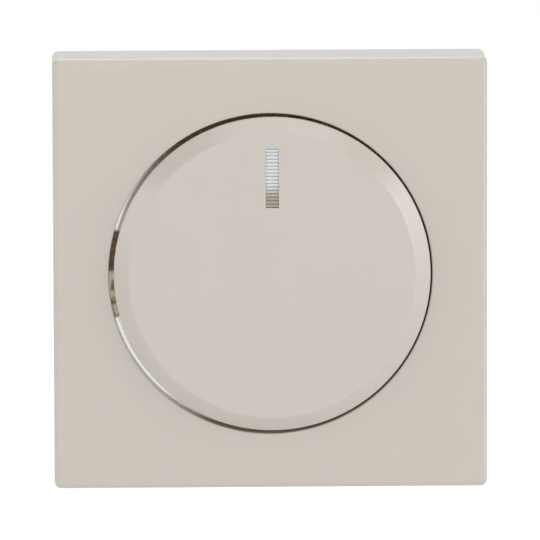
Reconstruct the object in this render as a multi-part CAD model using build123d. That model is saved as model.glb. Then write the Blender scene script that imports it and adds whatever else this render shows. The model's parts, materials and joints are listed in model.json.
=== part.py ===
from build123d import *
import os
from math import cos, radians, sin

# Push and rotary dimmer for a 45 x 45 mm module frame. Millimetres.
# X is right, +Y goes into the wall and +Z is up. The knob turns about the Y axis, and Y = 0 is the
# seat: the rear face of the flange, which rests on the support frame. The front faces -Y.

# ---- Cover plate ----
PLATE = 44.8                # width and height
PLATE_DEPTH = 7.0           # front face to the seat
PLATE_FRONT = 2.0           # thickness of the front wall
PLATE_WALL = 1.3            # thickness of the skirt
PLATE_CORNER = 0.7          # radius of the four corners
PLATE_EDGE = 0.6            # rounding round the front
HOLE_EDGE = 0.15            # rounding of the knob's hole
COLLAR_WALL = 0.9           # ring behind the knob's hole
COLLAR_LENGTH = 1.8
PLATE_SHIFT = 0.18          # the plate sits this far left of the axis, inside its lugs' play

# ---- Knob ----
KNOB = 32.7                 # diameter of the rim
CHAMFER_WIDTH = 1.55        # from the rim in to the flat face
KNOB_GAP = 0.35             # between the rim and the plate's hole
KNOB_PROUD = 0.1            # the rim stands this far ahead of the plate
CHAMFER_DEPTH = 1.4         # rim to flat face
CAP_FRONT = 1.4             # thickness of the cap's face
CAP_SKIRT = 0.6             # length of the rim's land behind the chamfer
CAP_WALL = 1.6
FACE_EDGE = 0.45            # rounding between the face and the chamfer
RIM_EDGE = 0.2
PUSH = 1.5                  # travel of the push action
PEG = 0.8                   # radius of the cap's pegs
PEG_ANGLES = (30, 150, 270)
PEG_INSET = 2.45            # from the hub's boss in to the pegs

# ---- Clear ring in the gap, and the light guide in the knob ----
RING_WIDTH = 1.5            # from the collar inwards
RING_DEPTH = 1.2
RING_TABS = 12
RING_TAB = 0.35             # depth of its notches
WINDOW = 1.3                # width of the ribbed window
WINDOW_LENGTH = 6.1
WINDOW_INSET = 1.6          # from the edge of the knob's face
RIBS = 17
RIB_DEPTH = 0.16
GUIDE_RING = 1.2            # thickness of the guide's ring
GUIDE_WALL = 0.95
GUIDE_BAR = 2.4             # width of the bar from the ring to the window
GUIDE_BAR_DEPTH = 1.2

# ---- Hub and shaft ----
HUB_WEB = 1.0
HUB_INSET = 0.3             # the web stops this far inside the light guide
HUB_WALL = 1.2
HUB_TUBE = 3.5              # outer radius
HUB_TAIL = 1.0              # length of the tube behind the web
HUB_RIB = 0.8
HUB_RIB_DEPTH = 1.3
SHAFT = 2.0                 # radius
SHAFT_FLAT = 1.5            # from the axis to the flat
SHAFT_TIP = 1.6             # radius of the round end
CLIP = 0.5                  # thickness of the rings on the hub and the shaft
CLIP_RADIUS = 2.9
SPRING_RADIUS = 8.6
SPRING_WIRE = 0.35          # radius of the wire
SPRING_TURNS = 3.5

# ---- Potentiometer ----
BUSH = 4.0                  # outer radius of its threaded bush
NUT = 1.5
NUT_FLATS = 12.0
WASHER = 0.4
WASHER_RADIUS = 6.6
BUSH_LEAD = 0.3             # bush beyond the nut
POT = 8.0                   # radius
POT_WALL = 1.0
POT_FLANGE = 1.0
POT_DEPTH = 5.5
TRACK = 0.8
TRACK_INNER = 3.7
ROTOR = 2.0
ROTOR_LEAD = 0.4
ROTOR_HUB = 3.2             # radius
WIPER = 0.5
PIN = 1.0                   # width of its three pins
PIN_THICK = 0.5
PIN_X = (-2.5, 0, 2.5)
PIN_REACH = 1.5             # beyond the housing
FINGER = 1.2                # width of the wiper's two fingers
FINGER_X = 2.2
FINGER_Z = (4.0, 5.0)

# ---- Body behind the seat ----
BODY_W = 40.0
BODY_H = 35.0
BODY_BACK = 28.0            # rear face
BODY_WALL = 1.2
BODY_CORNER = 1.5
SPLIT = 12.0                # where the two housings meet
SPLIT_EDGE = 0.3            # chamfer along that joint
FLANGE_CORNER = 1.0
REAR_EDGE = 0.8             # rounding round the rear face
FLANGE = 1.5
DECK = 1.5
BOARD = 1.6
BOARD_PLAY = 0.4
SCREW_X = 15.4
SCREW_Z = 12.9
SCREW = 1.25                # radius
SCREW_HEAD = 2.3
SCREW_HEAD_LENGTH = 1.5
SCREW_SINK = 0.2            # heads lie this far below the rear face
RECESS = 2.6                # across the cross recess
RECESS_W = 0.5
BOSS = 3.1
LAMP_LEAD = 0.25            # radius
LAMP_LEAD_X = 0.8
LEDGE_X = 9.0
LEDGE_W = 2.4
LEDGE = 1.3                 # how far the board's ledges reach in
VENTS = 5
VENT = 1.2                  # width of a slot
VENT_PITCH = 3.0
VENT_X = -10.0              # first slot

# ---- Snap lugs between plate and flange ----
LUG_X = 12.0
LUG_W = 4.6
LUG = 0.6                   # overhang
LUG_LENGTH = 0.8
LUG_GAP = 0.3               # between the lugs and the flange
CLAW = 1.1                  # thickness of the flange's claws
CLAW_NOSE = 0.9

# ---- Push switch ----
SWITCH_W = 12.0
SWITCH_H = 10.0
SWITCH_DEPTH = 10.0
SWITCH_WALL = 1.0
PLUNGER = 1.8
PLUNGER_LENGTH = 3.6
YOKE = 1.0                  # thickness of the plunger's cross piece
BRIDGE = 0.4                # thickness of the moving contact
CONTACT = 0.9               # radius of the fixed contacts
CONTACT_Z = 2.8

# ---- Terminals ----
TERMINAL_X = (-11.5, -4.0, 3.5)
WIRE = 1.4                  # radius of the wire entries
WIRE_GUIDE = 2.4
CAGE_TRAVEL = 2.2
CAGE_W = 5.6
CAGE_WALL = 0.8
CAGE_NUT = 1.0              # thickness of the cage's threaded wall
CAGE_LENGTH = 5.0
BAR = 0.8
BAR_W = 3.4
TERMINAL_SCREW = 1.5
TERMINAL_HEAD = 2.4
TERMINAL_HEAD_LENGTH = 1.2
SLOT = 0.6                  # width of the screwdriver slots
SLOT_DEPTH = 0.7
BLOCK_WALL = 1.0

# ---- Fuse ----
FUSE = 2.6                  # radius of its end caps
FUSE_LENGTH = 20.0
FUSE_CAP = 5.0
TRAY_WALL = 0.7
PANEL = 1.1
LEAF = 0.4                  # thickness of the fuse's contacts
LEAF_W = 2.0
LEAF_PLACES = ((-7.9, 5.0), (7.4, 4.6))     # where each one stands, and its reach along the fuse

# ---- Parts on the board ----
PART_ROOM = 0.9             # from the tallest parts to the fuse's contacts
TRIAC_THICK = 4.4
TRIAC_DEPTH = 9.0
TRIAC_LEG = 1.0             # length of its legs
TRIAC_TAB = 1.3
TRIAC_Z = (-3.0, 7.0)
TRIAC_HOLE = 1.6            # radius of the tab's hole
HOLE_FROM_FLOOR = 3.4       # from the body's rear wall to that hole
SINK = 1.4                  # thickness
SINK_GAP = 0.1              # from the body's side wall
SINK_HOLE = 1.5
TRIAC_SCREW = 1.45
TRIAC_SCREW_HEAD = 2.7
TRIAC_HEAD_LENGTH = 1.8
CHOKE = 5.2                 # outer radius of its core
CHOKE_BORE = 2.6
CHOKE_DEPTH = 4.0
CHOKE_Z = 0.4
CHOKE_TURNS = 13
CHOKE_PITCH = 25            # degrees from turn to turn
CHOKE_WIRE = 0.65
FILM_W = 13.0
FILM_H = 7.0
CAN = 3.6                   # radius of the electrolytic capacitor
CAN_GROOVE = 0.35           # depth
CHIP_X = (-16.5, -10.5)
CHIP_Z = (-12.0, -3.5)
CHIP_LEGS = 4
CHIP_PITCH = 2.2
LEG = 0.5                   # width of the small parts' legs
RESISTOR = 0.9              # radius
RESISTOR_LENGTH = 5.0
RESISTOR_X = (-11.0, -2.6, 5.8)
DIODE = 0.7                 # radius
DIODE_LENGTH = 3.0
DIODE_X = 3.5

# ---- Latches ----
LATCH = 0.5                 # thickness of the spring steel
LATCH_W = 8.0
LATCH_REACH = 1.8           # beyond the body's side
FRAME_GRIP = 2.2            # from the seat to the catch
LATCH_ROOT = 14.5           # from the seat to the rolled eye that it turns on
LATCH_EYE = 0.45            # radius
LATCH_BEND = 8.0            # from the seat to the bend
LATCH_NOSE = 0.8            # depth of the catch's flat outer end
STRAP = 0.6

# ---- Clearances ----
RUN = 0.04                  # turning and sliding fits
PLAY = 0.15                 # moving part to housing
CLEAR = 0.3

# ---- Planes along Y, from front to back ----
PLATE_Y = -PLATE_DEPTH
RIM_Y = PLATE_Y - KNOB_PROUD
FACE_Y = RIM_Y - CHAMFER_DEPTH
CAP_BACK = FACE_Y + CAP_FRONT
SKIRT_BACK = RIM_Y + CAP_SKIRT
GUIDE_BACK = SKIRT_BACK + GUIDE_RING
WEB_BACK = GUIDE_BACK + HUB_WEB
HUB_BACK = WEB_BACK + HUB_TAIL
BUSH_FRONT = HUB_BACK + PUSH + CLEAR
NUT_FRONT = BUSH_FRONT + BUSH_LEAD
WASHER_FRONT = NUT_FRONT + NUT
DECK_FRONT = WASHER_FRONT + WASHER
DECK_BACK = DECK_FRONT + DECK
POT_FRONT = DECK_BACK + POT_FLANGE
BOARD_FRONT = POT_FRONT + POT_DEPTH
BOARD_BACK = BOARD_FRONT + BOARD
TRACK_FRONT = BOARD_FRONT - POT_WALL - TRACK
SHAFT_BACK = BOARD_BACK + PUSH
SWITCH_BACK = BOARD_BACK + SWITCH_DEPTH
RING_FRONT = SKIRT_BACK + PUSH + CLEAR
COLLAR_BACK = PLATE_Y + PLATE_FRONT + COLLAR_LENGTH
FLOOR = BODY_BACK - BODY_WALL

# ---- Radii and half widths that follow ----
RIM = KNOB / 2
FACE = RIM - CHAMFER_WIDTH
HOLE = RIM + KNOB_GAP
CAP_INNER = RIM - CAP_WALL
GUIDE_OUTER = CAP_INNER - 0.05
GUIDE_INNER = GUIDE_OUTER - GUIDE_WALL
HUB_FLANGE = GUIDE_OUTER - HUB_INSET
HUB_BOSS = GUIDE_INNER - 0.1
PEG_CIRCLE = HUB_BOSS - HUB_WALL - PEG_INSET
WINDOW_OUTER = FACE - WINDOW_INSET
WINDOW_INNER = WINDOW_OUTER - WINDOW_LENGTH
PLATE_INNER = PLATE / 2 - PLATE_WALL
FLANGE_HALF = PLATE_INNER - 0.2
SIDE = BODY_W / 2
TOP = BODY_H / 2
IN_X = SIDE - BODY_WALL
IN_Z = TOP - BODY_WALL
LAMP_Z = GUIDE_INNER + 0.85
LAMP = 1.5                  # radius
WELL = LAMP_Z + LAMP + CLEAR

# ---- Terminal levels, from the lower wall upwards ----
HEAD_Z = -IN_Z + 0.1
HEAD_TOP = HEAD_Z + TERMINAL_HEAD_LENGTH
CAGE_BOTTOM = HEAD_TOP + 0.1 + CAGE_TRAVEL
BAR_BOTTOM = CAGE_BOTTOM + CAGE_NUT + 0.4
BAR_TOP = BAR_BOTTOM + BAR
WIRE_Z = BAR_TOP + 0.1 + WIRE
CAGE_TOP = WIRE_Z + WIRE + 0.1 + CAGE_WALL
GUIDE_FRONT = FLOOR - 1.8
CAGE_BACK = GUIDE_FRONT - CLEAR
CAGE_FRONT = CAGE_BACK - CAGE_LENGTH
CAGE_Y = (CAGE_FRONT + CAGE_BACK) / 2

# ---- Fuse drawer ----
FUSE_Z = IN_Z - 0.3 - FUSE
FUSE_Y = FLOOR - PLAY - TRAY_WALL - 0.05 - FUSE
FUSE_END = IN_X - 5.3
TRAY_END = FUSE_END - FUSE_LENGTH - 1.5
LEAF_Y = FUSE_Y - FUSE - 0.1 - LEAF

# ---- Places on the board ----
PART_BACK = LEAF_Y - PART_ROOM
SINK_BACK = -IN_X + SINK_GAP + SINK
TRIAC_HOLE_Z = sum(TRIAC_Z) / 2
TRIAC_HOLE_Y = FLOOR - HOLE_FROM_FLOOR
CHOKE_X = SWITCH_W / 2 + CHOKE + 1.4
CHOKE_Y = BOARD_BACK + CHOKE_DEPTH / 2 + 1.5


def box(x, y, z):
    """A block between a pair of limits on each axis."""
    size = [pair[1] - pair[0] for pair in (x, y, z)]
    middle = [sum(pair) / 2 for pair in (x, y, z)]
    return Pos(*middle) * Box(*size)


def about(middle, width):
    """The pair of limits that lie half a width to each side of a middle."""
    return middle - width / 2, middle + width / 2


def pin(radius, start, end):
    """A round bar between two points."""
    run = Vector(*end) - Vector(*start)
    return extrude(Plane(origin=start, z_dir=run.normalized()) * Circle(radius), run.length)


def rod(radius, y, x=0.0, z=0.0):
    """A round bar along Y between a pair of limits."""
    return pin(radius, (x, y[0], z), (x, y[1], z))


def ring(outer, inner, y, x=0.0, z=0.0):
    """A tube along Y between a pair of limits."""
    return rod(outer, y, x, z) - rod(inner, (y[0] - 1, y[1] + 1), x, z)


def turned(points):
    """A closed outline of (radius, y) points turned about the Y axis."""
    return revolve(make_face(Polyline(*points, close=True)), Axis.Y)


def circle_edges(shape, radius, y):
    """The round edges of a turned piece at one radius and one place along Y."""
    edges = shape.edges().filter_by(GeomType.CIRCLE)
    return edges.filter_by(lambda e: abs(e.radius - radius) < 0.01 and abs(e.center().Y - y) < 0.01)


def polar(radius, degrees):
    """X and Z of a point on a circle, counted from +X towards +Z."""
    return radius * cos(radians(degrees)), radius * sin(radians(degrees))


def d_bar(radius, flat, y):
    """A shaft along Y with a flat on its upper side."""
    top = radius + 1
    return rod(radius, y) - box((-top, top), (y[0] - 1, y[1] + 1), (flat, top))


def save(name, shape):
    """Write one named sub-part."""
    export_step(shape, f"parts/{name}.step")


# ---- What the hand touches ----
def cover_plate():
    """Square plate with a skirt, the knob's hole, a collar behind it and four snap lugs."""
    half = PLATE / 2
    plate = box((-half, half), (PLATE_Y, 0), (-half, half))
    plate = fillet(plate.edges().filter_by(Axis.Y), PLATE_CORNER)
    plate = fillet(plate.faces().sort_by(Axis.Y)[0].edges(), PLATE_EDGE)
    inner = (-PLATE_INNER, PLATE_INNER)
    plate -= box(inner, (PLATE_Y + PLATE_FRONT, 1), inner)
    plate += ring(HOLE + COLLAR_WALL, HOLE, (PLATE_Y + PLATE_FRONT - 0.5, COLLAR_BACK))
    plate -= rod(HOLE, (PLATE_Y - 1, COLLAR_BACK + 1))
    plate = fillet(circle_edges(plate, HOLE, PLATE_Y), HOLE_EDGE)
    lug_back = -FLANGE - LUG_GAP
    for x in (-LUG_X, LUG_X):
        for side in (-1, 1):
            z = sorted((side * (PLATE_INNER - LUG), side * (PLATE_INNER + 0.3)))
            plate += box(about(x, LUG_W), (lug_back - LUG_LENGTH, lug_back), z)
    return Pos(-PLATE_SHIFT, 0, 0) * plate


def light_ring():
    """Clear ring in the plate's collar, seen through the gap, with notches round its inner edge."""
    back = RING_FRONT + RING_DEPTH
    clear = ring(HOLE, HOLE - RING_WIDTH, (RING_FRONT, back))
    for tab in range(RING_TABS):
        x, z = polar(HOLE - RING_WIDTH, (tab + 0.5) * 360 / RING_TABS)
        clear -= rod(RING_TAB, (RING_FRONT - 1, back + 1), x, z)
    return Pos(-PLATE_SHIFT, 0, 0) * clear


def knob_cap():
    """Shallow cap with a chamfered rim, a slot for the window and three pegs behind."""
    cap = turned([(0, FACE_Y), (FACE, FACE_Y), (RIM, RIM_Y), (RIM, SKIRT_BACK),
                  (CAP_INNER, SKIRT_BACK), (CAP_INNER, CAP_BACK), (0, CAP_BACK)])
    cap = fillet(circle_edges(cap, FACE, FACE_Y), FACE_EDGE)
    cap = fillet(circle_edges(cap, RIM, RIM_Y), RIM_EDGE)
    slot_z = (WINDOW_INNER - RUN, WINDOW_OUTER + RUN)
    cap -= box(about(0, WINDOW + 2 * RUN), (FACE_Y - 1, CAP_BACK + 1), slot_z)
    for angle in PEG_ANGLES:
        cap += rod(PEG, (CAP_BACK - 0.5, WEB_BACK), *polar(PEG_CIRCLE, angle))
    return cap


def ribbed_window():
    """The block that fills the cap's slot: a row of cross ribs, each a small prism."""
    pitch = (WINDOW_OUTER - WINDOW_INNER) / RIBS
    outline = [(WINDOW_INNER, CAP_BACK + 0.5), (WINDOW_INNER, FACE_Y + RIB_DEPTH)]
    for rib in range(RIBS):
        low = WINDOW_INNER + rib * pitch
        outline += [(low + pitch / 2, FACE_Y), (low + pitch, FACE_Y + RIB_DEPTH)]
    outline.append((WINDOW_OUTER, CAP_BACK + 0.5))
    side = Plane(origin=(-WINDOW / 2, 0, 0), x_dir=(0, 0, 1), z_dir=(1, 0, 0))
    return extrude(side * make_face(Polyline(*[(z, -y) for z, y in outline], close=True)), WINDOW)


def light_guide():
    """Clear piece in the knob: a ring that gathers light, a bar inwards and the ribbed window."""
    guide = ring(GUIDE_OUTER, GUIDE_INNER, (CAP_BACK, GUIDE_BACK))
    bar_z = (WINDOW_INNER - 0.5, GUIDE_INNER + 0.6)
    guide += box(about(0, GUIDE_BAR), (CAP_BACK, CAP_BACK + GUIDE_BAR_DEPTH), bar_z)
    return guide + ribbed_window()


def knob_hub():
    """Carrier behind the cap: a ribbed dish whose tube grips the shaft."""
    hub = ring(HUB_BOSS, HUB_BOSS - HUB_WALL, (CAP_BACK, GUIDE_BACK))
    hub += rod(HUB_FLANGE, (GUIDE_BACK, WEB_BACK))
    hub += rod(HUB_TUBE, (CAP_BACK, HUB_BACK))
    for angle in range(0, 180, 60):
        rib_y = (GUIDE_BACK - HUB_RIB_DEPTH, GUIDE_BACK)
        rib = box(about(0, 2 * HUB_BOSS - HUB_WALL), rib_y, about(0, HUB_RIB))
        hub += Rot(0, angle, 0) * rib
    hub -= box(about(0, GUIDE_BAR + 0.3), (CAP_BACK - 1, GUIDE_BACK), (HUB_TUBE + 1, GUIDE_INNER + 1))
    for angle in PEG_ANGLES:
        hub -= rod(PEG + RUN, (CAP_BACK - 1, WEB_BACK + 1), *polar(PEG_CIRCLE, angle))
    return hub - d_bar(SHAFT + RUN, SHAFT_FLAT + RUN, (CAP_BACK - 1, HUB_BACK + 1))


def split_ring(outer, inner, y):
    """A spring ring with a gap at its lower side."""
    gap = box(about(0, inner * 0.9), (y[0] - 1, y[1] + 1), (-outer - 1, 0))
    return ring(outer, inner, y) - gap


def pot_shaft():
    """Shaft with a flat for the hub and the rotor, a round tip and a groove for its clip."""
    shaft = d_bar(SHAFT, SHAFT_FLAT, (CAP_BACK + CLEAR, BOARD_FRONT - POT_WALL))
    return shaft + rod(SHAFT_TIP, (BOARD_FRONT - POT_WALL, SHAFT_BACK))


def push_spring():
    """Return spring between the deck and the hub's web."""
    start = WEB_BACK + SPRING_WIRE
    length = DECK_FRONT - SPRING_WIRE - start
    coil = Helix(length / SPRING_TURNS, length, SPRING_RADIUS, (0, start, 0), (0, 1, 0))
    return sweep((coil ^ 0) * Circle(SPRING_WIRE), coil, is_frenet=True)


# ---- Potentiometer ----
def bush_nut():
    """Hexagon nut that holds the bush to the deck."""
    front = Plane(origin=(0, NUT_FRONT, 0), z_dir=(0, 1, 0))
    nut = extrude(front * RegularPolygon(NUT_FLATS / 2, 6, major_radius=False), NUT)
    return nut - rod(BUSH + RUN, (NUT_FRONT - 1, DECK_FRONT))


def pot_bush():
    """Threaded bush with the flange that closes the potentiometer's front."""
    bush = rod(BUSH, (BUSH_FRONT, DECK_BACK)) + rod(POT, (DECK_BACK, POT_FRONT))
    return bush - rod(SHAFT + RUN, (BUSH_FRONT - 1, POT_FRONT + 1))


def pot_terminals():
    """Three bent pins from the potentiometer to the board."""
    low = -POT - PIN_REACH
    foot_y = (POT_FRONT + 2.5, POT_FRONT + 2.5 + PIN_THICK)
    pins = []
    for x in PIN_X:
        foot = box(about(x, PIN), foot_y, (low, -POT + POT_WALL - 0.2))
        leg = box(about(x, PIN), (foot_y[1], BOARD_FRONT), (low, low + PIN_THICK))
        pins.append(foot + leg)
    return pins


def pot_housing():
    """Round cup, open in front, with the pins moulded into its wall."""
    cup = rod(POT, (POT_FRONT, BOARD_FRONT))
    cup -= rod(POT - POT_WALL, (POT_FRONT - 1, BOARD_FRONT - POT_WALL))
    cup -= rod(SHAFT + CLEAR, (POT_FRONT, BOARD_FRONT + 1))
    for terminal in pot_terminals():
        cup -= terminal
    return cup


def pot_track():
    """Resistive track: most of a ring, with its ends at the lower side."""
    track = ring(POT - POT_WALL - 0.1, TRACK_INNER, (TRACK_FRONT, TRACK_FRONT + TRACK))
    return track - box(about(0, 1.6), (TRACK_FRONT - 1, TRACK_FRONT + 2), (-POT, 0))


def pot_rotor():
    """Disc that the shaft slides through and turns."""
    start = POT_FRONT + ROTOR_LEAD
    rotor = rod(POT - POT_WALL - CLEAR, (start, start + ROTOR))
    rotor += rod(ROTOR_HUB, (start, TRACK_FRONT + 0.3))
    return rotor - d_bar(SHAFT + RUN, SHAFT_FLAT + RUN, (start - 1, BOARD_FRONT))


def pot_wiper():
    """Springy contact on the rotor, with two fingers that reach the track."""
    start = POT_FRONT + ROTOR_LEAD + ROTOR
    wiper = ring(POT - 2, ROTOR_HUB, (start, start + WIPER))
    wiper -= box((-POT, POT), (start - 1, start + 1), (-POT, 2.5))
    for x in (-FINGER_X, FINGER_X):
        wiper += box(about(x, FINGER), (start, TRACK_FRONT - 0.1), FINGER_Z)
    return wiper


# ---- Housings ----
def body_shell(y):
    """The rounded outer block of the body between two places along Y."""
    shell = box((-SIDE, SIDE), y, (-TOP, TOP))
    return fillet(shell.edges().filter_by(Axis.Y), BODY_CORNER)


def room(y):
    """The space inside the body's walls between two places along Y."""
    return box((-IN_X, IN_X), y, (-IN_Z, IN_Z))


def screw_places():
    """X and Z of the two housing screws, in opposite corners."""
    return (-SCREW_X, SCREW_Z), (SCREW_X, -SCREW_Z)


def snap_claws():
    """Four claws on the flange that the plate's lugs snap behind."""
    outer = PLATE_INNER - LUG - 0.1
    nose_back = -FLANGE - LUG_GAP - LUG_LENGTH - 0.1
    nose_y = (nose_back - CLAW_NOSE, nose_back)
    claws = []
    for side in (-1, 1):
        stem_z = sorted((side * (outer - CLAW), side * outer))
        nose_z = sorted((side * (outer - CLAW), side * FLANGE_HALF))
        for x in (-LUG_X, LUG_X):
            stem = box(about(x, LUG_W), (nose_y[0], -FLANGE), stem_z)
            claws.append(stem + box(about(x, LUG_W), nose_y, nose_z))
    return claws


def front_cuts():
    """Latch windows, screw holes, the bush's hole and the lamp's hole in the front housing."""
    cuts = [rod(BUSH + RUN, (DECK_FRONT - 1, DECK_BACK + 1))]
    cuts.append(rod(LAMP + 0.1, (DECK_FRONT - 1, DECK_BACK + 1), 0, LAMP_Z))
    for side in (-1, 1):
        window_x = sorted((side * (IN_X - 1.2), side * (SIDE + 0.1)))
        cuts.append(box(window_x, (DECK_FRONT + 0.5, SPLIT + 1), about(0, LATCH_W + 0.8)))
    for x, z in screw_places():
        cuts.append(rod(SCREW + 0.05, (DECK_BACK + 1.5, SPLIT + 1), x, z))
    return cuts


def front_housing():
    """Front half of the body: flange, round well, deck, board ledges and snap claws."""
    half = (-FLANGE_HALF, FLANGE_HALF)
    body = body_shell((0, SPLIT))
    body = chamfer(body.faces().sort_by(Axis.Y)[-1].edges(), SPLIT_EDGE)
    flange = box(half, (-FLANGE, 0), half)
    front = body + fillet(flange.edges().filter_by(Axis.Y), FLANGE_CORNER)
    front -= rod(WELL, (-FLANGE - 1, DECK_FRONT))
    front -= room((DECK_BACK, SPLIT + 1))
    for claw in snap_claws():
        front += claw
    for side in (-1, 1):
        ledge_z = sorted((side * (IN_Z - LEDGE), side * (IN_Z + 0.2)))
        for x in (-LEDGE_X, LEDGE_X):
            front += box(about(x, LEDGE_W), (DECK_BACK, BOARD_FRONT), ledge_z)
    for x, z in screw_places():
        front += rod(BOSS, (DECK_BACK - 0.5, SPLIT), x, z)
    for cut in front_cuts():
        front -= cut
    return front


def rear_cuts():
    """Screw, wire and fuse openings and the vents in the rear housing."""
    panel_y, panel_z = fuse_panel()
    opening_y = (panel_y[0] - PLAY, panel_y[1] + PLAY)
    opening_z = (panel_z[0] - PLAY, panel_z[1] + PLAY)
    cuts = [box((IN_X - 0.5, SIDE + 1), opening_y, opening_z)]
    for x, z in screw_places():
        cuts.append(rod(SCREW + 0.05, (SPLIT - 1, BODY_BACK + 1), x, z))
        head_y = (BODY_BACK - SCREW_SINK - SCREW_HEAD_LENGTH, BODY_BACK + 1)
        cuts.append(rod(SCREW_HEAD + PLAY, head_y, x, z))
    for x in TERMINAL_X:
        cuts.append(rod(WIRE, (GUIDE_FRONT - 1, BODY_BACK + 1), x, WIRE_Z))
        cuts.append(pin(TERMINAL_HEAD - 0.5, (x, CAGE_Y, -TOP - 1), (x, CAGE_Y, -IN_Z + 1)))
    for slot in range(VENTS):
        vent_x = about(VENT_X + VENT_PITCH * slot, VENT)
        cuts.append(box(vent_x, (SPLIT + 2.5, SPLIT + 7.5), (IN_Z - 1, TOP + 1)))
    return cuts


def rear_housing():
    """Rear half: wire entries, openings for the terminal screws and the fuse, vents and straps."""
    rear = body_shell((SPLIT, BODY_BACK))
    rear = fillet(rear.faces().sort_by(Axis.Y)[-1].edges(), REAR_EDGE)
    rear = chamfer(rear.faces().sort_by(Axis.Y)[0].edges(), SPLIT_EDGE)
    rear -= room((SPLIT - 1, FLOOR))
    for x, z in screw_places():
        rear += rod(BOSS, (SPLIT, FLOOR + 0.2), x, z)
    for x in TERMINAL_X:
        rear += rod(WIRE_GUIDE, (GUIDE_FRONT, FLOOR + 0.2), x, WIRE_Z)
    for cut in rear_cuts():
        rear -= cut
    room_out = SIDE + 2 * (LATCH_EYE + 0.05)
    slot_back = LATCH_ROOT + LATCH_EYE + 0.1
    for side in (-1, 1):
        strap_x = sorted((side * (SIDE - 0.2), side * (room_out + STRAP)))
        rear += box(strap_x, (SPLIT + 0.4, slot_back + 0.5), about(0, LATCH_W + 2))
        slot_x = sorted((side * SIDE, side * room_out))
        rear -= box(slot_x, (SPLIT - 1, slot_back), about(0, LATCH_W + 0.4))
    return rear


def housing_screws():
    """Two long screws with round heads, put in from the rear."""
    screws = []
    head_y = (BODY_BACK - SCREW_SINK - SCREW_HEAD_LENGTH, BODY_BACK - SCREW_SINK)
    for x, z in screw_places():
        screw = rod(SCREW, (DECK_BACK + 2, head_y[0]), x, z) + rod(SCREW_HEAD, head_y, x, z)
        for width in (RECESS_W, RECESS):
            recess_y = (head_y[1] - SLOT_DEPTH, head_y[1] + 1)
            screw -= box(about(x, width), recess_y, about(z, RECESS + RECESS_W - width))
        screws.append(screw)
    return screws


def latch(side):
    """Bent strip of spring steel: a catch in front and a rolled eye at the root."""
    middle = SIDE + LATCH_EYE + 0.05
    outer, inner = middle + LATCH / 2, middle - LATCH / 2
    reach = SIDE + LATCH_REACH
    outline = [(inner, LATCH_ROOT), (outer, LATCH_ROOT), (outer, LATCH_BEND),
               (reach, FRAME_GRIP + LATCH_NOSE),
               (reach, FRAME_GRIP), (SIDE + 0.1, FRAME_GRIP), (SIDE + 0.1, FRAME_GRIP + LATCH),
               (reach - 0.6, FRAME_GRIP + LATCH), (inner, LATCH_BEND + 0.1)]
    face = make_face(Polyline(*[(side * x, y) for x, y in outline], close=True))
    leaf = Pos(0, 0, -LATCH_W / 2) * extrude(face, LATCH_W, dir=(0, 0, 1))
    eye = (side * middle, LATCH_ROOT)
    return leaf + pin(LATCH_EYE, (*eye, -LATCH_W / 2), (*eye, LATCH_W / 2))


# ---- Circuit board and what is soldered to it ----
def circuit_board():
    """Board across the body, cut away round the screw bosses and the shaft's tip."""
    half_x, half_z = IN_X - BOARD_PLAY, IN_Z - BOARD_PLAY
    board = box((-half_x, half_x), (BOARD_FRONT, BOARD_BACK), (-half_z, half_z))
    across = (BOARD_FRONT - 1, BOARD_BACK + 1)
    for x, z in screw_places():
        board -= rod(BOSS + PLAY, across, x, z)
        corner_x = sorted((x, x * 2))
        corner_z = sorted((z, z * 2))
        board -= box(corner_x, across, about(z, 2 * BOSS + 2 * PLAY))
        board -= box(about(x, 2 * BOSS + 2 * PLAY), across, corner_z)
    return board - rod(SHAFT + CLEAR, across)


def indicator_lamp():
    """Domed lamp that lights the clear ring from behind."""
    tip = WEB_BACK + PUSH + CLEAR
    body = rod(LAMP, (tip + LAMP, DECK_BACK), 0, LAMP_Z)
    return body + Pos(0, tip + LAMP, LAMP_Z) * Sphere(LAMP)


def lamp_leads():
    """The lamp's two wires down to the board."""
    across = (-LAMP_LEAD_X, LAMP_LEAD_X)
    return [rod(LAMP_LEAD, (DECK_BACK, BOARD_FRONT), x, LAMP_Z) for x in across]


def switch_case():
    """Case of the push switch, open behind, with a round well for the shaft's clip."""
    half_x, half_z = SWITCH_W / 2, SWITCH_H / 2
    case = box((-half_x, half_x), (BOARD_BACK, SWITCH_BACK - SWITCH_WALL), (-half_z, half_z))
    well = SHAFT_BACK + 1
    case -= rod(CLIP_RADIUS + CLEAR, (BOARD_BACK - 1, well))
    half_x, half_z = half_x - SWITCH_WALL, half_z - SWITCH_WALL
    return case - box((-half_x, half_x), (well, SWITCH_BACK), (-half_z, half_z))


def switch_base():
    """Plate that closes the switch behind, cut for the fixed contacts."""
    half_x, half_z = SWITCH_W / 2, SWITCH_H / 2
    base = box((-half_x, half_x), (SWITCH_BACK - SWITCH_WALL, SWITCH_BACK), (-half_z, half_z))
    for contact in fixed_contacts():
        base -= contact
    return base


def plunger_back():
    """Where the plunger ends and the moving contact begins."""
    return SHAFT_BACK + PLUNGER_LENGTH


def switch_plunger():
    """Plunger that the shaft's tip pushes: a stem and a yoke."""
    yoke_y = (plunger_back() - YOKE, plunger_back())
    stem = rod(PLUNGER, (SHAFT_BACK + RUN, yoke_y[0]))
    return stem + box(about(0, SWITCH_W - 3), yoke_y, about(0, 4))


def moving_contact():
    """Copper bridge on the plunger."""
    return box(about(0, 3), (plunger_back(), plunger_back() + BRIDGE), about(0, SWITCH_H - 2.4))


def fixed_contacts():
    """Two rivets in the base that the bridge meets when it is pushed in."""
    front = plunger_back() + BRIDGE + PUSH + 0.05
    return [rod(CONTACT, (front, SWITCH_BACK), 0, z) for z in (-CONTACT_Z, CONTACT_Z)]


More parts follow.
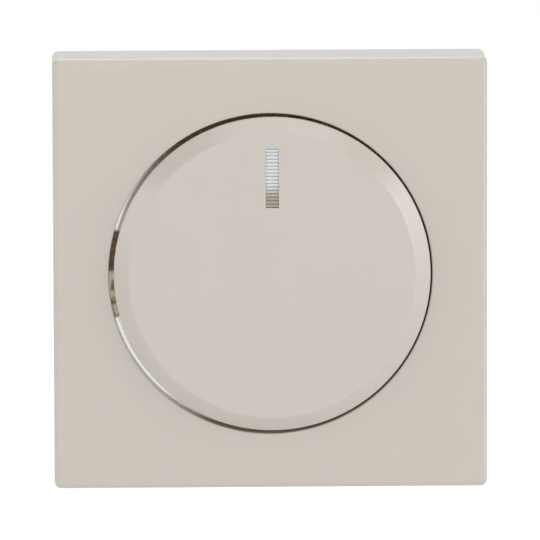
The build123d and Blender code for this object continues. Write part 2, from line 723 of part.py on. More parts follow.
def triac():
    """Flat-packed power switch: moulded body and metal tab with a hole."""
    left = SINK_BACK
    body_end = BOARD_BACK + TRIAC_LEG + TRIAC_DEPTH
    body = box((left, left + TRIAC_THICK), (BOARD_BACK + TRIAC_LEG, body_end), TRIAC_Z)
    body += box((left, left + TRIAC_TAB), (body_end, FLOOR - 0.6), TRIAC_Z)
    hole = (TRIAC_HOLE_Y, TRIAC_HOLE_Z)
    return body - pin(TRIAC_HOLE, (left - 1, *hole), (left + TRIAC_TAB + 1, *hole))


def triac_leads():
    """Three legs from the power switch to the board."""
    across = about(SINK_BACK + TRIAC_THICK / 2, LEG)
    leg_y = (BOARD_BACK, BOARD_BACK + TRIAC_LEG)
    return [box(across, leg_y, about(TRIAC_HOLE_Z + step, 0.9)) for step in (-2.5, 0, 2.5)]


def heat_sink():
    """Aluminium plate along the body's side, drilled for the power switch."""
    plate_z = (-IN_Z + 2, SCREW_Z - BOSS - 0.6)
    plate = box((SINK_BACK - SINK, SINK_BACK), (BOARD_BACK, FLOOR - 0.4), plate_z)
    hole = (TRIAC_HOLE_Y, TRIAC_HOLE_Z)
    return plate - pin(SINK_HOLE, (-SIDE, *hole), (0, *hole))


def triac_screw():
    """Screw that presses the power switch to its heat sink."""
    place = (TRIAC_HOLE_Y, TRIAC_HOLE_Z)
    seat = SINK_BACK + TRIAC_TAB
    screw = pin(TRIAC_SCREW, (SINK_BACK - SINK + 0.1, *place), (seat, *place))
    screw += pin(TRIAC_SCREW_HEAD, (seat, *place), (seat + TRIAC_HEAD_LENGTH, *place))
    slot_x = (seat + TRIAC_HEAD_LENGTH - SLOT_DEPTH, seat + TRIAC_HEAD_LENGTH + 1)
    return screw - box(slot_x, about(place[0], SLOT), about(place[1], 6))


def choke_core():
    """Ring of iron powder."""
    return ring(CHOKE, CHOKE_BORE, about(CHOKE_Y, CHOKE_DEPTH), CHOKE_X, CHOKE_Z)


def choke_winding():
    """Turns of enamelled wire round the core, spread over most of the ring."""
    outer = (CHOKE_BORE - CHOKE_WIRE - 0.05, CHOKE + CHOKE_WIRE + 0.05)
    inner = (CHOKE_BORE - 0.05, CHOKE + 0.05)
    depth = CHOKE_DEPTH + 0.1
    loop = box(outer, about(CHOKE_Y, depth + 2 * CHOKE_WIRE), about(0, CHOKE_WIRE))
    loop -= box(inner, about(CHOKE_Y, depth), about(0, 2))
    middle = Pos(CHOKE_X, 0, CHOKE_Z)
    return [middle * Rot(0, CHOKE_PITCH * turn + 30, 0) * loop for turn in range(CHOKE_TURNS)]


def film_capacitor():
    """Boxed suppression capacitor."""
    low = SWITCH_H / 2 + 1.4
    block = box(about(0, FILM_W), (BOARD_BACK, PART_BACK), (low, low + FILM_H))
    return fillet(block.edges(), 0.4)


def electrolytic_capacitor():
    """Can with a rolled groove near the board."""
    x, z = CHOKE_X + 0.2, IN_Z - CAN - 1.3
    can = rod(CAN, (BOARD_BACK, PART_BACK), x, z)
    can = fillet(circle_edges(can, CAN, PART_BACK), 0.5)
    return can - ring(CAN + 1, CAN - CAN_GROOVE, (BOARD_BACK + 1.2, BOARD_BACK + 1.9), x, z)


def axial_part(radius, length, x, z):
    """A small round part lying along X, with a bent leg at each end."""
    y = BOARD_BACK + radius + 0.3
    part = pin(radius, (x - length / 2, y, z), (x + length / 2, y, z))
    for side in (-1, 1):
        near, far = x + side * (length / 2 - 0.2), x + side * (length / 2 + 0.9)
        part += box(sorted((near, far + side * 0.2)), about(y, LEG), about(z, LEG))
        part += box(about(far, LEG), (BOARD_BACK, y + LEG / 2), about(z, LEG))
    return part


def resistors():
    """Three resistors in a row under the terminal bars."""
    return [axial_part(RESISTOR, RESISTOR_LENGTH, x, BAR_BOTTOM - 2.4) for x in RESISTOR_X]


def trigger_diode():
    """Small glass diode that fires the power switch."""
    return axial_part(DIODE, DIODE_LENGTH, DIODE_X, BAR_TOP + 3)


def control_chip():
    """Flat chip with two rows of legs, on the front of the board."""
    chip = box(CHIP_X, (BOARD_FRONT - 2.4, BOARD_FRONT - LEG), CHIP_Z)
    for leg in range(CHIP_LEGS):
        z = CHIP_Z[0] + 1.0 + CHIP_PITCH * leg
        for x in (CHIP_X[0] - 0.25, CHIP_X[1] + 0.25):
            chip += box(about(x, 0.9), (BOARD_FRONT - 1.4, BOARD_FRONT), about(z, 0.6))
    return chip


# ---- Terminals ----
def terminal_block():
    """Insulating block with a pocket for each cage."""
    half = CAGE_W / 2 + 0.2
    x = (TERMINAL_X[0] - half - BLOCK_WALL, TERMINAL_X[-1] + half + BLOCK_WALL)
    z = (CAGE_BOTTOM - CAGE_TRAVEL, CAGE_TOP + 0.5 + BLOCK_WALL)
    front = CAGE_FRONT - 0.4
    block = box(x, (front - BLOCK_WALL, GUIDE_FRONT), z)
    for place in TERMINAL_X:
        block -= box(about(place, 2 * half), (front, BODY_BACK), (-TOP, CAGE_TOP + 0.5))
        slot_z = (BAR_BOTTOM - 0.05, BAR_TOP + 0.05)
        block -= box(about(place, BAR_W + 0.1), (front - BLOCK_WALL - 1, front + 1), slot_z)
    return block


def terminal_bars():
    """Fixed brass bars, from the board through the cages."""
    back = CAGE_BACK - 0.4
    return [box(about(x, BAR_W), (BOARD_BACK, back), (BAR_BOTTOM, BAR_TOP)) for x in TERMINAL_X]


def terminal_cage(x):
    """Square clamp that rises towards its screw's head and grips the wire under the bar."""
    inner = CAGE_W - 2 * CAGE_WALL
    cage = box(about(x, CAGE_W), (CAGE_FRONT, CAGE_BACK), (CAGE_BOTTOM, CAGE_TOP))
    inner_z = (CAGE_BOTTOM + CAGE_NUT, CAGE_TOP - CAGE_WALL)
    cage -= box(about(x, inner), (CAGE_FRONT - 1, CAGE_BACK + 1), inner_z)
    return cage - pin(TERMINAL_SCREW + RUN, (x, CAGE_Y, CAGE_BOTTOM - 1), (x, CAGE_Y, BAR_BOTTOM))


def terminal_screw(x):
    """Clamp screw with a slotted head, reached through the body's lower wall."""
    screw = pin(TERMINAL_SCREW, (x, CAGE_Y, HEAD_TOP), (x, CAGE_Y, BAR_BOTTOM - 0.05))
    screw += pin(TERMINAL_HEAD, (x, CAGE_Y, HEAD_Z), (x, CAGE_Y, HEAD_TOP))
    return screw - box(about(x, SLOT), about(CAGE_Y, 6), (HEAD_Z - 1, HEAD_Z + SLOT_DEPTH))


# ---- Fuse ----
def fuse_panel():
    """Limits of the drawer's outer panel along Y and Z."""
    return (FUSE_Y - FUSE, FLOOR - PLAY), (FUSE_Z - FUSE - 0.1 - TRAY_WALL, FUSE_Z + FUSE + 0.1)


def fuse_drawer():
    """Tray that carries the fuse out through the body's right side."""
    panel_y, panel_z = fuse_panel()
    floor_z = (panel_z[0], panel_z[0] + TRAY_WALL)
    wall_y = (panel_y[1] - TRAY_WALL, panel_y[1])
    drawer = box((SIDE - PANEL, SIDE), panel_y, panel_z)
    drawer += box((TRAY_END, SIDE - 0.5), panel_y, floor_z)
    drawer += box((TRAY_END, SIDE - 0.5), wall_y, (panel_z[0], FUSE_Z + 1))
    drawer += box((TRAY_END, TRAY_END + 0.8), panel_y, panel_z)
    drawer += box((FUSE_END + 0.3, FUSE_END + 1.1), panel_y, (panel_z[0], FUSE_Z))
    return drawer - box((SIDE - 0.5, SIDE + 1), about(FUSE_Y, 3.6), about(FUSE_Z - 0.6, 1.0))


def fuse_caps():
    """Metal caps on the fuse's two ends."""
    caps = []
    for start in (FUSE_END - FUSE_LENGTH, FUSE_END - FUSE_CAP):
        cap = pin(FUSE, (start, FUSE_Y, FUSE_Z), (start + FUSE_CAP, FUSE_Y, FUSE_Z))
        caps.append(cap - fuse_tube())
    return caps


def fuse_tube():
    """Glass tube of the fuse."""
    start, end = FUSE_END - FUSE_LENGTH + 0.4, FUSE_END - 0.4
    tube = pin(FUSE - 0.2, (start, FUSE_Y, FUSE_Z), (end, FUSE_Y, FUSE_Z))
    return tube - pin(FUSE - 0.8, (start - 1, FUSE_Y, FUSE_Z), (end + 1, FUSE_Y, FUSE_Z))


def fuse_contacts():
    """Two angled springs from the board that meet the fuse's caps."""
    leaf_y = (LEAF_Y, LEAF_Y + LEAF)
    height = about(FUSE_Z, LEAF_W)
    contacts = []
    for post, reach in LEAF_PLACES:
        leg = box((post, post + LEAF), (BOARD_BACK, leaf_y[1]), height)
        contacts.append(leg + box((post, post + reach), leaf_y, height))
    return contacts


SINGLE_PIECES = (
    cover_plate, light_ring, knob_cap, light_guide, knob_hub, pot_shaft, push_spring, bush_nut,
    pot_bush, pot_housing, pot_track, pot_rotor, pot_wiper, front_housing, rear_housing,
    circuit_board, indicator_lamp, switch_case, switch_base, switch_plunger, moving_contact, triac,
    heat_sink, triac_screw, choke_core, film_capacitor, electrolytic_capacitor, trigger_diode,
    control_chip, terminal_block, fuse_drawer, fuse_tube,
)
GROUPS = (
    pot_terminals, housing_screws, lamp_leads, fixed_contacts, triac_leads, choke_winding,
    resistors, terminal_bars, fuse_caps, fuse_contacts,
)


def main():
    """Write every sub-part."""
    os.makedirs("parts", exist_ok=True)
    for make in SINGLE_PIECES:
        save(make.__name__, make())
    for make in GROUPS:
        save(make.__name__, Compound(children=make()))
    save("hub_grip_ring", split_ring(HUB_TUBE + CLIP, HUB_TUBE, (WEB_BACK, HUB_BACK - 0.2)))
    save("shaft_clip", split_ring(CLIP_RADIUS, SHAFT_TIP, (BOARD_BACK + 0.05, BOARD_BACK + 0.05 + CLIP)))
    save("bush_washer", ring(WASHER_RADIUS, BUSH + RUN, (WASHER_FRONT, DECK_FRONT)))
    for number, x in enumerate(TERMINAL_X, 1):
        save(f"terminal_cage_{number}", terminal_cage(x))
        save(f"terminal_screw_{number}", terminal_screw(x))
    save("latch_left", latch(-1))
    save("latch_right", latch(1))


main()
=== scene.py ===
# %% [markdown]
# # A push and rotary dimmer, finished for its close-up
# The working model comes first: every housing, screw, spring and contact is already in place, in
# metres, with the wall towards +Y and the front facing -Y. This lesson gives each of them its
# surface, and remakes the pieces whose curves catch the light: the cover plate, the knob, the clear
# plastic, the springs and the wound choke.

# %% Load the working model
import json
import math
import bmesh
import bpy
import numpy as np
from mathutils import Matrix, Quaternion, Vector


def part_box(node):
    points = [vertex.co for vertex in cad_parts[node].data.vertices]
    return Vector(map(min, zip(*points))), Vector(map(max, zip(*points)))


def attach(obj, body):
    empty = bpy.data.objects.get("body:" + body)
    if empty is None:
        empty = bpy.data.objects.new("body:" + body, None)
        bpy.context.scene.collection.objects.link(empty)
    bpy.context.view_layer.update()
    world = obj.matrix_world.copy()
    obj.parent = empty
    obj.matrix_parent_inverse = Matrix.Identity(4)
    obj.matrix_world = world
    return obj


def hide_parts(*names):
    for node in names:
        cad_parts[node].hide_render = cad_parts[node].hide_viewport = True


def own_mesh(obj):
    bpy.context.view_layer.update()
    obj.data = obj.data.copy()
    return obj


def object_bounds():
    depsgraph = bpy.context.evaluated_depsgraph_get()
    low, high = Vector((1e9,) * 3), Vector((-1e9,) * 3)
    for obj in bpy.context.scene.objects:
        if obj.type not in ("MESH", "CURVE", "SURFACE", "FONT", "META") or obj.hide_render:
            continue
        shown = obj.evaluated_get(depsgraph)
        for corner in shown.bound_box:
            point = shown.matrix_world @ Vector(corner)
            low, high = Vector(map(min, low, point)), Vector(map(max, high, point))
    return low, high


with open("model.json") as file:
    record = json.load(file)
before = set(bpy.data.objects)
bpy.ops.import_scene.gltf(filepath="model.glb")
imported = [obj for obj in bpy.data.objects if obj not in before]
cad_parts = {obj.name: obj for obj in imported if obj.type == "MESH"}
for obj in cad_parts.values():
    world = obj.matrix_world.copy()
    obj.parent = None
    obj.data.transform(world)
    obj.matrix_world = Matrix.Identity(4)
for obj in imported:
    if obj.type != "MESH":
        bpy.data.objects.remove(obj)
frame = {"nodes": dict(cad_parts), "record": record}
cad_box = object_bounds()
MM = 0.001

# %% [markdown]
# ## The room
# A wall device has no feet, so it floats a little above a large white sheet, under an even white
# sky. One panel stands to each side, the right one stronger, so that the bevels facing left and
# right differ. One hangs overhead for the bevels that face up, and one stands far in front. Two
# cooler ones light the sheet behind the device, and its upper side shows them as a pale reflection.

# %% Sheet, sky and panels
SHEET_DROP = 50 * MM
SHEET_HALF = 12.0
SHEET_WHITE = (0.93, 0.93, 0.93, 1)
SHEET_ROUGHNESS = 0.9
SKY_STRENGTH = 0.407
LIGHT_AIM = Vector((0, -4 * MM, 0))
COOL = (0.90, 0.95, 1.0)


def plain_sheet():
    """A square white sheet below the device."""
    level = cad_box[0].z - SHEET_DROP
    mesh = bpy.data.meshes.new("sheet")
    signs = ((-1, -1), (1, -1), (1, 1), (-1, 1))
    corners = [(x * SHEET_HALF, y * SHEET_HALF, level) for x, y in signs]
    mesh.from_pydata(corners, [], [(0, 1, 2, 3)])
    sheet = bpy.data.objects.new("sheet", mesh)
    bpy.context.scene.collection.objects.link(sheet)
    paint = bpy.data.materials.new("white_sheet")
    paint.use_nodes = True
    shader = paint.node_tree.nodes["Principled BSDF"]
    shader.inputs["Base Color"].default_value = SHEET_WHITE
    shader.inputs["Roughness"].default_value = SHEET_ROUGHNESS
    mesh.materials.append(paint)


def light_panel(name, place, size, watts, colour=(1, 1, 1)):
    """A square panel of light that faces the device."""
    lamp = bpy.data.lights.new(name, "AREA")
    lamp.size, lamp.energy, lamp.color = size, watts, colour
    panel = bpy.data.objects.new(name, lamp)
    panel.location = Vector(place)
    panel.rotation_mode = "QUATERNION"
    panel.rotation_quaternion = (LIGHT_AIM - panel.location).to_track_quat("-Z", "Y")
    bpy.context.scene.collection.objects.link(panel)


def white_sky(strength):
    """The same white light from every direction."""
    world = bpy.data.worlds.new("white_sky")
    world.use_nodes = True
    world.node_tree.nodes["Background"].inputs["Color"].default_value = (1, 1, 1, 1)
    world.node_tree.nodes["Background"].inputs["Strength"].default_value = strength
    bpy.context.scene.world = world


plain_sheet()
white_sky(SKY_STRENGTH)
light_panel("right_panel", (1.0, -0.45, 0.25), 0.7, 6.6)
light_panel("left_panel", (-1.0, -0.45, 0.25), 0.7, 4.2)
light_panel("overhead_panel", (0.1, -0.35, 1.2), 1.2, 7.1)
light_panel("front_panel", (-0.1, -1.4, 0.25), 0.7, 3.1)
light_panel("horizon_panel", (0.0, 2.2, 0.4), 2.4, 8.7, COOL)
light_panel("sheet_panel", (0.0, 1.2, 1.6), 1.2, 15.5, COOL)
bpy.context.scene.view_settings.view_transform = "Standard"

# %% [markdown]
# ## The camera
# A long lens a metre away keeps the square plate square. The camera stands about nine degrees above
# and a little to the left, so the plate's upper side shows as a thin bright band, and it leans by a
# sixth of a degree, as a hand-levelled camera does.

# %% Camera
CAMERA_AZIMUTH, CAMERA_ELEVATION = math.radians(-1.3), math.radians(8.66)
CAMERA_LEAN = math.radians(-0.166)
CAMERA_DISTANCE = 1.0
CLIP_NEAR, CLIP_FAR = 0.01, 20
VIEW_WIDTH = 55.70 * MM
AIM_LEFT, AIM_ABOVE = 0.05 * MM, 0.40 * MM
plate_low, plate_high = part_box("cover_plate")
PLATE_X = (plate_low.x + plate_high.x) / 2


def make_camera():
    """A long-lens camera aimed a little above the middle of the plate's front."""
    camera = bpy.data.objects.new("camera", bpy.data.cameras.new("camera"))
    camera.data.lens = camera.data.sensor_width * CAMERA_DISTANCE / VIEW_WIDTH
    level = math.cos(CAMERA_ELEVATION)
    back = Vector((math.sin(CAMERA_AZIMUTH) * level, -math.cos(CAMERA_AZIMUTH) * level,
                   math.sin(CAMERA_ELEVATION)))
    upright = (-back).to_track_quat("-Z", "Y")
    aim = Vector((PLATE_X, plate_low.y, 0)) + upright @ Vector((-AIM_LEFT, AIM_ABOVE, 0))
    camera.location = aim + back * CAMERA_DISTANCE
    camera.rotation_mode = "QUATERNION"
    camera.rotation_quaternion = upright @ Quaternion((0, 0, 1), CAMERA_LEAN)
    camera.data.clip_start, camera.data.clip_end = CLIP_NEAR, CLIP_FAR
    bpy.context.scene.collection.objects.link(camera)
    bpy.context.scene.camera = camera
    return camera


print("lens", round(make_camera().data.lens), "mm")

# %% [markdown]
# ## Reckoning with surfaces
# A finish is a sum of small effects: a slow drift in colour, a fine bump, a duller patch. Node links
# hide that arithmetic, so `Field` wraps one socket and lets Python's own operators add the maths
# nodes. `Finish` holds one material: its `node` method adds any node from its settings and its
# inputs, and the other methods are the few effects that most finishes share.

# %% Fields and finishes
MIX_FACTOR, MIX_FIRST, MIX_SECOND, MIX_COLOUR = 0, 6, 7, 2      # a colour mix node's sockets


class Field:
    """A number that changes over a surface. Operators on it add maths nodes."""

    def __init__(self, finish, socket):
        self.finish, self.socket = finish, socket

    def reckon(self, operation, *others, clamp=False):
        """A maths node of this operation on the field and the others."""
        settings = {"operation": operation, "use_clamp": clamp}
        return self.finish.node("ShaderNodeMath", settings, dict(enumerate((self, *others))))

    def __add__(self, other):
        return self.reckon("ADD", other)

    def __mul__(self, other):
        return self.reckon("MULTIPLY", other)

    def __sub__(self, other):
        return self.reckon("SUBTRACT", other)

    def __rsub__(self, other):
        return (self * -1.0) + other

    def __pow__(self, other):
        return self.reckon("POWER", other)

    def above(self, edge, softness):
        """0 below the edge and 1 above it, with a soft step."""
        return ((self - edge) * (1.0 / softness) + 0.5).reckon("ADD", 0.0, clamp=True)


class Finish:
    """One procedural material, built round a Principled shader."""

    def __init__(self, name, **constants):
        self.material = bpy.data.materials.new(name)
        self.material.use_nodes = True
        self.tree = self.material.node_tree
        self.shader = self.tree.nodes["Principled BSDF"]
        for key, value in constants.items():
            self.give(self.shader.inputs[key.replace("_", " ")], value)
        self.place = self.node("ShaderNodeTexCoord", output="Object")

    def give(self, socket, value):
        """Link a field to a socket, or set a plain value on it."""
        if isinstance(value, Field):
            self.tree.links.new(value.socket, socket)
        else:
            socket.default_value = value

    def node(self, kind, settings=None, inputs=None, output=0):
        """Any node: its settings first, then its inputs, and one output as a field."""
        made = self.tree.nodes.new(kind)
        for key, value in (settings or {}).items():
            setattr(made, key, value)
        for key, value in (inputs or {}).items():
            self.give(made.inputs[key], value)
        return Field(self, made.outputs[output])

    def noise(self, size, detail=2.0, roughness=0.5, place=None):
        """Cloudy noise from 0 to 1, whose features are about this many metres across."""
        inputs = {"Vector": place or self.place, "Scale": 1.0 / size, "Detail": detail,
                  "Roughness": roughness}
        return self.node("ShaderNodeTexNoise", None, inputs)

    def cells(self, size, feature="F1"):
        """Distance to the middle of the nearest of many cells, about this many metres across."""
        inputs = {"Vector": self.place, "Scale": 1.0 / size}
        return self.node("ShaderNodeTexVoronoi", {"feature": feature}, inputs, "Distance")

    def stretched(self, x=1.0, y=1.0, z=1.0):
        """The surface's place, squeezed along each axis, for grain that runs one way."""
        return self.node("ShaderNodeMapping", None, {"Vector": self.place, "Scale": (x, y, z)})

    def axes(self):
        """X, Y and Z of the surface's place as three fields."""
        parts = self.tree.nodes.new("ShaderNodeSeparateXYZ")
        self.give(parts.inputs[0], self.place)
        return [Field(self, socket) for socket in parts.outputs]

    def mix(self, factor, first, second):
        """A colour between two colours."""
        inputs = {MIX_FACTOR: factor, MIX_FIRST: first, MIX_SECOND: second}
        return self.node("ShaderNodeMix", {"data_type": "RGBA"}, inputs, MIX_COLOUR)

    def colour(self, value):
        """Set or link the surface's colour."""
        self.give(self.shader.inputs["Base Color"], value)

    def roughness(self, value):
        """Set or link how dull the surface is."""
        self.give(self.shader.inputs["Roughness"], value)

    def bump(self, height, depth):
        """Raise the surface by a field of heights, this many metres at most."""
        inputs = {"Height": height, "Distance": depth, "Strength": 1.0}
        normal = self.node("ShaderNodeBump", None, inputs)
        self.give(self.shader.inputs["Normal"], normal)


def shade(colour, factor):
    """A colour made darker or lighter, with its alpha kept at one."""
    return (*(min(1.0, part * factor) for part in colour), 1.0)


# %% [markdown]
# ## Moulded plastics
# Gloss mouldings are never perfectly flat: the tool's polish leaves a skin of long, very shallow
# waves, and the resin drifts in tone by a fraction of a percent. Both are noise, at two sizes. The
# hidden housings come from a spark-eroded tool, so their skin is a field of tiny rounded pits,
# which Voronoi cells give directly.

# %% Plastic finishes
BEIGE, KNOB_BEIGE = (0.456, 0.413, 0.369), (0.459, 0.420, 0.378)
PLASTIC, RESIN, GLASS = 1.5, 1.49, 1.52                         # how strongly each refracts


def gloss_moulding(name, colour, roughness, wave=0.0035):
    """Polished plastic: slow waves, a trace of drift in tone, and slightly uneven gloss."""
    finish = Finish(name, IOR=PLASTIC)
    drift = finish.noise(9 * MM, 2.0)
    finish.colour(finish.mix(drift, shade(colour, 0.985), shade(colour, 1.015)))
    haze = finish.noise(2.2 * MM, 4.0, 0.6)
    finish.roughness(haze * 0.06 + (roughness - 0.03))
    skin = finish.noise(1.6 * MM, 1.0) + finish.noise(0.09 * MM, 1.0) * 0.12
    finish.bump(skin, wave * MM)
    return finish.material


def eroded_moulding(name, colour, roughness=0.55, pit=0.16, depth=0.012):
    """Housing plastic with the pitted skin of a spark-eroded tool."""
    finish = Finish(name, IOR=1.48)
    pits = finish.cells(pit * MM, "SMOOTH_F1")
    drift = finish.noise(7 * MM, 3.0)
    # The pits also darken the colour a little at their middles: painted shade in the pits, on top of the
    # drift in tone.
    tone = drift * 0.7 + pits * 0.3
    finish.colour(finish.mix(tone, shade(colour, 0.90), shade(colour, 1.10)))
    finish.roughness(finish.noise(3 * MM, 3.0) * 0.12 + (roughness - 0.06))
    finish.bump(pits + finish.noise(0.4 * MM) * 0.3, depth * MM)
    return finish.material


def flowed_moulding(name, colour, roughness=0.4):
    """Inner moulding with faint flow marks running away from its gate."""
    finish = Finish(name, IOR=PLASTIC)
    flow = finish.noise(2.5 * MM, 4.0, 0.6, finish.stretched(1.0, 0.35, 1.0))
    finish.colour(finish.mix(flow, shade(colour, 0.86), shade(colour, 1.14)))
    finish.roughness(flow * 0.2 + (roughness - 0.1))
    finish.bump(flow + finish.noise(0.2 * MM) * 0.25, 0.008 * MM)
    return finish.material


# %% [markdown]
# ## Clear plastic and glass
# Clear parts are all about what stands behind them. Full transmission with the resin's own
# refraction does most of the work, and a trace of surface waviness breaks the perfect edges. The
# ring in the gap is painted brown: painted shade, with the beige light bounced into the gap. Two
# frosted arcs on its left side are painted white and glow as painted highlights, and the clear,
# facetted stretch between them carries painted dark and bright reflections. The painted brown turns
# paler towards the bottom and glows a little there, as painted light reaching the bottom of the gap.
# Its finish reads the angle and the distance from the axis. The knob's guide is clear at the back.
# Its ribs are frosted and painted with the light from above: white towards the rim, darker brownish
# grey at the inner end, with painted shade in the seams between them.

# %% Clear finishes
# Painted shade: the brown stands for the shaded gap and the beige light bounced into it. Lower down it
# is paler and glows a little, as painted light.
GAP_SHADE_BROWN = (0.42, 0.24, 0.12, 1)
LOWER_GAP_LIGHT = (0.85, 0.64, 0.42, 1)
PAINTED_LOW_GLOW = (0.09, 0.065, 0.035, 1)
DARK, WHITE = (0, 0, 0, 1), (1, 1, 1, 1)
# Painted highlight: the frosted arcs are grey-white and glow white, for the glints on the ring's left
# side.
HIGHLIGHT_GREY = (0.60, 0.60, 0.62, 1)
# Painted reflections: the clear facets between the arcs are painted dark and bright, and glow in those
# colours.
FACET_PAINTED_SHADE, FACET_PAINTED_GLINT = (0.13, 0.12, 0.07, 1), (0.43, 0.40, 0.31, 1)
# Angles of the two painted highlight arcs, the bright outer rim of the upper one, and the painted dark
# line across the lower one.
UPPER_HIGHLIGHT, UPPER_HIGHLIGHT_FADE = (15.0, 37.0), 34.0                      # degrees above the left side
LOWER_HIGHLIGHT, LOWER_HIGHLIGHT_FADE = (16.6, 58.0), 22.0                      # degrees below it
HIGHLIGHT_RIM, PAINTED_DARK_LINE = 16.52, 16.57                          # radii on the frosted arcs
LOW_START, LOW_FADE = 9.0, 10.0                                 # below the axis
# Painted light and shade on the ribs: white high up, where light falls from above, and darker brownish
# grey low down. The seams are darker as painted shade.
RIB_LOW_SHADED, SEAM_LOW_SHADED = (0.45, 0.40, 0.33, 1), (0.30, 0.26, 0.20, 1)
RIB_HIGH_LIT, SEAM_HIGH_LIT = (0.79, 0.79, 0.82, 1), (0.53, 0.53, 0.55, 1)
GUIDE_BODY = (0.90, 0.93, 0.91, 1)
WINDOW_DEPTH = 7.25                                             # the ribbed block starts here
WINDOW_LOW, WINDOW_HIGH, RIBS = 7.1, 13.2, 17                   # its ends, above the knob's axis


def clear_moulding(name, colour, roughness):
    """Clear resin or glass with faint flow waves."""
    finish = Finish(name, IOR=GLASS, Transmission_Weight=1.0)
    wave = finish.noise(1.1 * MM, 2.0)
    finish.colour(finish.mix(wave, shade(colour, 0.96), shade(colour, 1.0)))
    finish.roughness(wave * 0.03 + roughness)
    finish.bump(wave, 0.004 * MM)
    return finish.material


def ring_with_painted_light(name):
    """Ring painted brown as shade in the gap, with two frosted arcs painted white and glowing as painted
    highlights, and facets between them with painted reflections.
    """
    # The emission makes the ring glow as painted light: its arcs as painted highlights, its facets as
    # painted reflections, and its lower part as painted light in the gap.
    finish = Finish(name, IOR=RESIN, Transmission_Weight=0.15, Emission_Strength=0.55)
    x, _, z = finish.axes()
    angle = z.reckon("ARCTAN2", x * -1.0) * math.degrees(1)
    down = angle * -1.0
    radius = (x * x + z * z) ** 0.5
    # Painted highlights: two arcs on the left. The upper one is brighter at its outer rim, and a painted
    # dark line runs along the lower one.
    upper = angle.above(UPPER_HIGHLIGHT[0], 1.0) * (1.0 - angle.above(UPPER_HIGHLIGHT[1], UPPER_HIGHLIGHT_FADE))
    lower = down.above(LOWER_HIGHLIGHT[0], 1.0) * (1.0 - down.above(LOWER_HIGHLIGHT[1], LOWER_HIGHLIGHT_FADE))
    clear = down.above(0.0, 1.0) * (1.0 - down.above(LOWER_HIGHLIGHT[0], 1.0))
    rim = radius.above(HIGHLIGHT_RIM * MM, 0.08 * MM)
    painted_dark_line = (radius * (1.0 / MM) - PAINTED_DARK_LINE).reckon("ABSOLUTE").above(0.05, 0.04)
    highlight_arcs = upper * (rim * 0.65 + 0.35) + lower * (painted_dark_line * 0.5 + 0.5)
    # Painted reflections on the facets: noise picks the dark or the bright colour, which the ring also
    # emits.
    facets = finish.noise(0.8 * MM, 1.0, 0.5, finish.stretched(1.6, 1.0, 0.8)).above(0.46, 0.10)
    glass = finish.mix(facets, FACET_PAINTED_SHADE, FACET_PAINTED_GLINT)
    # Painted light: below the axis the brown turns paler, and the ring glows a little there.
    low = (z * -1.0).above(LOW_START * MM, LOW_FADE * MM)
    gap_shade = finish.mix(low, GAP_SHADE_BROWN, LOWER_GAP_LIGHT)
    finish.colour(finish.mix(highlight_arcs, finish.mix(clear, gap_shade, glass), HIGHLIGHT_GREY))
    finish.roughness(highlight_arcs * 0.35 + 0.1)
    painted_glow = finish.mix(low, DARK, PAINTED_LOW_GLOW)
    painted_emission = finish.mix(highlight_arcs, finish.mix(clear, painted_glow, glass), WHITE)
    finish.give(finish.shader.inputs["Emission Color"], painted_emission)
    finish.bump(facets, 0.03 * MM)
    return finish.material


def ribbed_guide(name):
    """Clear guide whose front ribs are frosted and painted with light from above: darker brownish grey
    at the low end, white at the high, with painted shade in the seams.
    """
    finish = Finish(name, IOR=RESIN, Transmission_Weight=0.25)
    _, y, z = finish.axes()
    window = (y * -1.0).above(WINDOW_DEPTH * MM, 0.1 * MM)
    share = (z - WINDOW_LOW * MM) * (1.0 / ((WINDOW_HIGH - WINDOW_LOW) * MM))
    # Painted shade in the seams between the ribs. Painted light from above makes the ribs white towards
    # the high end.
    seam_shade = (((share * RIBS).reckon("FRACT") - 0.5).reckon("ABSOLUTE") * 2.0).above(0.70, 0.35)
    white = (share + finish.noise(0.7 * MM) * 0.08).above(0.33, 0.22)
    face = finish.mix(white, RIB_LOW_SHADED, RIB_HIGH_LIT)
    seam = finish.mix(white, SEAM_LOW_SHADED, SEAM_HIGH_LIT)
    finish.colour(finish.mix(window, GUIDE_BODY, finish.mix(seam_shade, face, seam)))
    finish.roughness(window * 0.30 + 0.06)
    finish.bump(finish.noise(0.25 * MM), 0.004 * MM)
    return finish.material


# %% [markdown]
# ## Metals
# Metal shows how it was made. Rolled strip and turned bars carry fine lines along or round the
# piece, plating leaves a faint crystal pattern, and stamped copper alloys are smooth but stained by
# handling. Each is the same shader with a different grain: noise squeezed along one axis for lines,
# and cells for plating.

# %% Metal finishes
ALONG_GRAIN = 0.04                                              # how far noise is stretched into lines
ROW_PITCH, COLUMN_PITCH = 1.6, 3.1                              # of the board's traces


def lined_metal(name, colour, along, roughness):
    """Rolled or drawn metal, with fine lines along one axis."""
    finish = Finish(name, Metallic=1.0)
    squeeze = {axis: (ALONG_GRAIN if axis == along else 1.0) for axis in "xyz"}
    lines = finish.noise(0.09 * MM, 3.0, 0.6, finish.stretched(**squeeze))
    patch = finish.noise(4 * MM, 3.0)
    finish.colour(finish.mix(patch, shade(colour, 0.88), shade(colour, 1.06)))
    finish.roughness(lines * 0.18 + patch * 0.08 + (roughness - 0.12))
    finish.bump(lines, 0.0015 * MM)
    return finish.material


def plated_metal(name, colour, roughness, crystal):
    """Plated metal, with a faint crystal pattern and a passivated tint."""
    finish = Finish(name, Metallic=1.0)
    crystals = finish.cells(crystal * MM)
    tint = finish.noise(2.5 * MM, 3.0)
    tone = crystals * 0.35 + tint * 0.65
    finish.colour(finish.mix(tone, shade(colour, 0.84), shade(colour, 1.08)))
    finish.roughness(tone * 0.2 + (roughness - 0.1))
    finish.bump(crystals + finish.noise(0.12 * MM) * 0.3, 0.002 * MM)
    return finish.material


